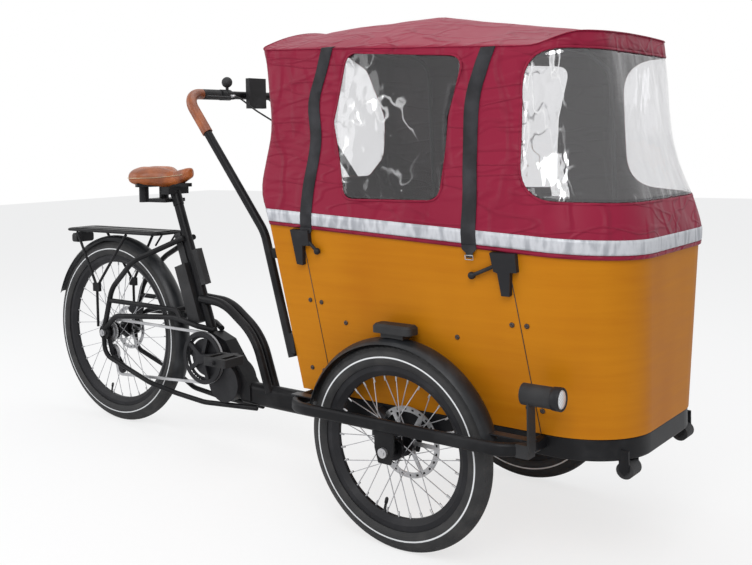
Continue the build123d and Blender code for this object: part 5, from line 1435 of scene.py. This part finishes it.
@dataclass
class RoadWheel:
    """One wheel: tyre, rim, hub with spokes and brake disc, with nipples and a valve."""

    finishes: Finishes
    word: str
    body: str
    centre: tuple[float, float, float]
    line_radius: float
    bead: float
    blocks: int
    holes_at: float
    spokes: int = 32
    rim_depth: float = 0.028
    hub_dark: float = 0.036
    nipple_sink: float = 0.013
    # The nipple and the valve, as pairs of radius and distance along them.
    nipple: tuple = ((0.0019, 0.0), (0.0026, 0.001), (0.0026, 0.014))
    valve: tuple = (
        (0.006, 0.0), (0.006, 0.002), (0.0035, 0.0025), (0.0032, 0.022),
        (0.0045, 0.022), (0.0045, 0.034), (0.0025, 0.037), (0.00001, 0.037),
    )
    valve_turn: float = -104.0

    def build(self) -> None:
        """Dress the wheel's nodes and add its small parts."""
        across, height = self.centre[0], self.centre[2]
        tyre = TyreRubber(f"tyre_rubber_{self.word}", self.centre, height, self.line_radius, self.blocks)
        dress(f"tyre_{self.word}", tyre.material())
        dress(f"rim_{self.word}", self.finishes.satin)
        hub = TurnedMetal(
            f"hub_metal_{self.word}", (0.55, 0.55, 0.57), (across, height), dark_to=self.hub_dark,
        )
        dress(f"hub_{self.word}", hub.material())
        disc = TurnedMetal(
            f"disc_steel_{self.word}", (0.52, 0.52, 0.53), (across, height), roughness=0.24,
            holes_at=self.holes_at,
        )
        dress(f"brake_disc_{self.word}", disc.material())
        nipples = []
        reach = self.bead - self.rim_depth
        for index in range(self.spokes):
            turn = math.tau * index / self.spokes
            outward = Vector((math.cos(turn), 0, math.sin(turn)))
            place = Vector(self.centre) + outward * (reach - self.nipple_sink)
            nipples.append(lathe(place, outward, self.nipple, 8))
        piece(f"nipples_{self.word}", *joined(nipples), self.finishes.steel, self.body, slot="hub")
        turn = math.radians(self.valve_turn)
        inward = -Vector((math.cos(turn), 0, math.sin(turn)))
        foot = Vector(self.centre) - inward * (reach + 0.0005)
        valve = lathe(foot, inward, self.valve, 14)
        piece(f"valve_{self.word}", *valve, self.finishes.plastic, self.body, slot="rim")


@dataclass
class CargoBox:
    """The plywood box with its bolts and the dark line of each seam."""

    finishes: Finishes
    # Each bolt's X from the front axle and Z, then each seam's X at the floor and its two ends' Z.
    bolts: tuple = (
        (-0.286, 0.588), (-0.249, 0.585), (-0.175, 0.537), (0.293, 0.582), (0.329, 0.583), (-0.302, 0.400),
        (-0.262, 0.397), (0.318, 0.392), (0.352, 0.390), (0.150, 0.537),
    )
    seams: tuple = ((-0.2372, 0.337, 0.797), (0.3449, 0.337, 0.763))
    seam_lean: float = 0.128
    bolt_radius: float = 0.0062
    seam_radius: float = 0.0011
    seam_out: float = 0.0001

    def build(self) -> None:
        """Dress the panels and add what is screwed to them."""
        for word in ("side_right", "side_left", "end_right", "end_left", "rear", "front"):
            dress(f"box_{word}", self.finishes.wood)
        for node in ("box_floor", "bench"):
            dress(node, self.finishes.bare_wood)
        heads, lines = [], []
        for side in Side:
            outward = Vector((0, side.value, -BOX_LEAN)).normalized()
            heads += [bolt(side_point(side, x, z), outward, self.bolt_radius) for x, z in self.bolts]
            for x, low, high in self.seams:
                ends = [
                    side_point(side, x - self.seam_lean * (z - BOX_FLOOR_Z), z, self.seam_out)
                    for z in (low, high)
                ]
                lines.append(tube_mesh(ends, self.seam_radius, 6))
        piece("box_bolts", *joined(heads), self.finishes.bolt, "front_module", slot="frame")
        piece("box_seams", *joined(lines), self.finishes.rubber, "front_module", slot="foot")


@dataclass
class Lamps:
    """The lenses of the lamps and the bezels round the headlamps."""

    finishes: Finishes
    head_x: float = FRONT_X + 0.430
    head_y: float = WHEEL_Y + 0.024
    head_z: float = 0.445
    # The bezel and the lens, as pairs of radius and distance ahead.
    rim: tuple = (
        (0.0243, -0.016), (0.0256, -0.015), (0.0262, -0.004), (0.0262, 0.003), (0.0250, 0.0045),
        (0.0228, 0.0045), (0.0218, 0.0012), (0.0218, 0.0004),
    )
    dome: tuple = (
        (0.0216, 0.0006), (0.0214, 0.0024), (0.0180, 0.0042), (0.0100, 0.0056), (0.00001, 0.0060),
    )
    tail_height: float = 0.034
    tail_size: tuple[float, float] = (0.074, 0.027)
    tail_corner: float = 0.009
    tail_levels: tuple = ((0.0, -0.001), (0.0, 0.0025), (0.0012, 0.0042), (0.0035, 0.0052))

    def build(self) -> None:
        """Fit the headlamps and the tail lamp."""
        bezels, lenses = [], []
        for side in Side:
            face = Vector((self.head_x, side.value * self.head_y, self.head_z))
            bezels.append(lathe(face, AHEAD, self.rim, 40))
            lenses.append(lathe(face, AHEAD, self.dome, 40))
        piece("headlamp_bezels", *joined(bezels), self.finishes.satin, "front_module", slot="lamp")
        piece("headlamp_lenses", *joined(lenses), self.finishes.lamp_lens, "front_module", slot="lamp")
        low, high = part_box("tail_lamp")
        middle = Vector((low.x, (low.y + high.y) / 2, low.z + self.tail_height / 2))
        plate = pillow(middle, (LEFT, UP, -AHEAD), self.tail_size, self.tail_corner, self.tail_levels)
        piece("tail_lamp_lens", *plate, self.finishes.red_lens, "rear_frame", slot="lamp")


@dataclass
class BarTop:
    """What is on the push bar beside the CAD levers: the display's screen and the brake hoses."""

    finishes: Finishes
    bar_x: float = FRONT_X - 0.765
    bar_z: float = 1.165
    screen_out: float = 0.016
    screen_y: float = 0.010
    screen_up: float = 0.034
    screen_size: tuple[float, float] = (0.068, 0.030)
    screen_corner: float = 0.004
    screen_levels: tuple = ((0.0, -0.001), (0.0, 0.0008), (0.0008, 0.0014))
    key_pitch: float = 0.022
    key_drop: float = 0.030
    key_size: tuple[float, float] = (0.014, 0.008)
    key_corner: float = 0.003
    key_levels: tuple = ((0.0, -0.001), (0.0, 0.0012), (0.0010, 0.0020))
    hose_radius: float = 0.0026
    nut_back: float = 0.004
    nut: tuple = ((0.0050, 0.0), (0.0050, 0.008), (0.0040, 0.010), (0.0034, 0.020), (0.00001, 0.020))
    # Each row is how far a point lies ahead of the bar, out from the middle and below the bar.
    hose_route: tuple = (
        (0.037, 0.122, 0.006), (0.059, 0.110, 0.012), (0.100, 0.084, 0.050), (0.185, 0.040, 0.120),
        (0.262, 0.016, 0.230), (0.300, 0.010, 0.360), (0.356, 0.010, 0.440), (0.384, 0.010, 0.475),
    )

    def build(self) -> None:
        """Fit the screen, its keys and the hoses."""
        axes = (LEFT, UP, -AHEAD)
        face = Vector((self.bar_x + self.screen_out, self.screen_y, self.bar_z))
        glass = pillow(
            face + UP * self.screen_up, axes, self.screen_size, self.screen_corner, self.screen_levels,
        )
        piece("display_glass", *glass, self.finishes.screen, "front_module", slot="casing")
        keys = [
            pillow(
                face + LEFT * (self.key_pitch * place) - UP * self.key_drop, axes,
                self.key_size, self.key_corner, self.key_levels,
            )
            for place in (-1, 0, 1)
        ]
        piece("display_keys", *joined(keys), self.finishes.rubber, "front_module", slot="casing")
        hoses, ends = [], []
        for side in Side:
            route = [
                Vector((self.bar_x + reach, side.value * out, self.bar_z - drop))
                for reach, out, drop in self.hose_route
            ]
            hoses.append(tube_mesh(smooth_line(route), self.hose_radius, 8))
            ends.append(lathe(route[0] - AHEAD * self.nut_back, AHEAD, self.nut, 12))
        piece("brake_hoses", *joined(hoses), self.finishes.rubber, "front_module", slot="grip")
        piece("hose_nuts", *joined(ends), self.finishes.steel, "front_module", slot="steel")


@dataclass
class PlainNodes:
    """CAD nodes whose shape is right and which only need a finish."""

    finishes: Finishes

    def build(self) -> None:
        """Dress each node."""
        table = {
            "frame": [
                "main_frame", "stays_right", "stays_left", "seatpost", "luggage_rack", "front_frame",
                "push_bar",
            ],
            "satin": [
                "drive_unit", "derailleur", "rear_caliper", "front_calipers", "crankset", "canopy_poles",
            ],
            "guard": ["rear_mudguard", "front_fenders"],
            "steel": ["rear_axle", "front_axles", "cassette", "chain"],
            "plastic": ["battery", "pedal_right", "pedal_left", "bar_controls", "front_lamps", "tail_lamp"],
            "rubber": ["bar_grips", "frame_feet"],
            "leather": ["bar_sleeves"],
        }
        for finish, nodes in table.items():
            for node in nodes:
                dress(node, getattr(self.finishes, finish))


@dataclass
class Studio:
    """The pale floor, the soft lights and the camera at the photograph's angle."""

    eye: Point = (1.31116 + FRONT_X, -2.31997, 1.00084)
    yaw: float = 0.7451935
    pitch: float = -0.0341216
    roll: float = -0.0256965
    # The photograph's size, its focal length and the pixel that the lens looks at.
    picture: tuple[int, int] = (752, 565)
    focal: float = 963.3907
    aim: tuple[float, float] = (236.0, 180.0)
    film: float = 36.0
    floor_glow: float = 0.72
    floor_reach: float = 14.0
    # Each background's colour and strength: what lights the vehicle and what the camera sees.
    backgrounds: tuple = (((0.95, 0.97, 1.0, 1.0), 0.55), ((1.0, 1.0, 1.0, 1.0), 1.0))
    # Each lamp's name, place, target, size and power.
    lamps: tuple = (
        ("key", (2.2, -3.2, 3.4), (0.2, 0.0, 0.6), 2.4, 95.0),
        ("fill", (-2.8, -2.6, 2.2), (-0.4, 0.0, 0.5), 2.6, 42.0),
        ("top", (0.2, 0.6, 4.2), (0.2, 0.0, 0.6), 3.0, 44.0),
    )

    def camera(self) -> None:
        """Create the camera and make it the scene's."""
        data = bpy.data.cameras.new("camera")
        wide, high = self.picture
        data.lens = self.focal * self.film / wide
        data.sensor_width = self.film
        data.shift_x, data.shift_y = 0.5 - self.aim[0] / wide, (self.aim[1] - high / 2) / wide
        data.clip_start, data.clip_end = 0.05, 60.0
        made = bpy.data.objects.new("camera", data)
        ahead = Vector((
            -math.sin(self.yaw) * math.cos(self.pitch), math.cos(self.yaw) * math.cos(self.pitch),
            math.sin(self.pitch),
        ))
        right = ahead.cross(UP).normalized()
        up = right.cross(ahead)
        c, s = math.cos(self.roll), math.sin(self.roll)
        right, up = c * right + s * up, c * up - s * right
        turn = Matrix((right, up, -ahead)).transposed().to_4x4()
        made.matrix_world = Matrix.Translation(self.eye) @ turn
        bpy.context.scene.collection.objects.link(made)
        bpy.context.scene.camera = made

    def floor(self) -> None:
        """Lay the floor."""
        s = Surface("pale_floor")
        view = s.node("ShaderNodeLightPath")
        grain = s.noise(40.0, 2.0)
        plain = s.principled(
            Base_Color=s.blend(grain, (0.90, 0.90, 0.90), (0.93, 0.93, 0.93)), Roughness=0.9,
            Specular_IOR_Level=0.0,
        )
        bright = s.node("ShaderNodeEmission", {}, {"Color": (1, 1, 1, 1), "Strength": 1.0})
        mixed = s.mix(Wire(s, view.outputs["Is Camera Ray"]) * self.floor_glow, plain, bright)
        mesh = bpy.data.meshes.new("floor")
        far = self.floor_reach
        corners = [(-far, -far, 0), (far, -far, 0), (far, far, 0), (-far, far, 0)]
        mesh.from_pydata(corners, [], [(0, 1, 2, 3)])
        mesh.materials.append(s.finish(mixed))
        made = bpy.data.objects.new("floor", mesh)
        bpy.context.scene.collection.objects.link(made)

    def world(self) -> None:
        """Make even grey surroundings that look white to the camera, in glass and in reflections."""
        world = bpy.data.worlds.new("studio")
        world.use_nodes = True
        tree = world.node_tree
        tree.nodes.clear()
        out = tree.nodes.new("ShaderNodeOutputWorld")
        view = tree.nodes.new("ShaderNodeLightPath")
        lights = []
        for colour, strength in self.backgrounds:
            light = tree.nodes.new("ShaderNodeBackground")
            light.inputs["Color"].default_value = colour
            light.inputs["Strength"].default_value = strength
            lights.append(light)
        seen = view.outputs["Is Camera Ray"]
        for ray in ("Is Transmission Ray", "Is Glossy Ray"):
            total = tree.nodes.new("ShaderNodeMath")
            total.operation = "ADD"
            total.use_clamp = True
            tree.links.new(seen, total.inputs[0])
            tree.links.new(view.outputs[ray], total.inputs[1])
            seen = total.outputs[0]
        mixed = tree.nodes.new("ShaderNodeMixShader")
        tree.links.new(seen, mixed.inputs[0])
        for place, light in enumerate(lights):
            tree.links.new(light.outputs[0], mixed.inputs[1 + place])
        tree.links.new(mixed.outputs[0], out.inputs["Surface"])
        bpy.context.scene.world = world

    def lamp(self, name: str, place: Point, target: Point, size: float, power: float) -> None:
        """Hang one soft lamp that faces a target."""
        data = bpy.data.lights.new(name, "AREA")
        data.size = size
        data.energy = power
        made = bpy.data.objects.new(name, data)
        made.location = place
        made.rotation_euler = (Vector(target) - Vector(place)).to_track_quat("-Z", "Y").to_euler()
        bpy.context.scene.collection.objects.link(made)

    def build(self) -> None:
        """Build the whole studio."""
        self.camera()
        self.floor()
        self.world()
        for lamp in self.lamps:
            self.lamp(*lamp)
        bpy.context.scene.view_settings.view_transform = "Standard"


def main() -> None:
    """Build the studio and every sub-assembly in order."""
    logging.basicConfig(level=logging.INFO, format="%(message)s")
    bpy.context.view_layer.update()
    Studio().build()
    finishes = Finishes()
    PlainNodes(finishes).build()
    for side in Side:
        RoadWheel(
            finishes, side.word, f"{side.word}_wheel", (FRONT_X, side.value * WHEEL_Y, FRONT_RADIUS),
            line_radius=0.2235, bead=0.203, blocks=96, holes_at=0.083,
        ).build()
    RoadWheel(
        finishes, "rear", "rear_wheel", (REAR_X, 0.0, REAR_RADIUS),
        line_radius=0.302, bead=0.2795, blocks=120, holes_at=0.073,
    ).build()
    CargoBox(finishes).build()
    Lamps(finishes).build()
    BarTop(finishes).build()
    RainCanopy(finishes).build()
    SaddleTop(finishes).build()
    BenchPad(finishes).build()


if __name__ == "__main__":
    main()
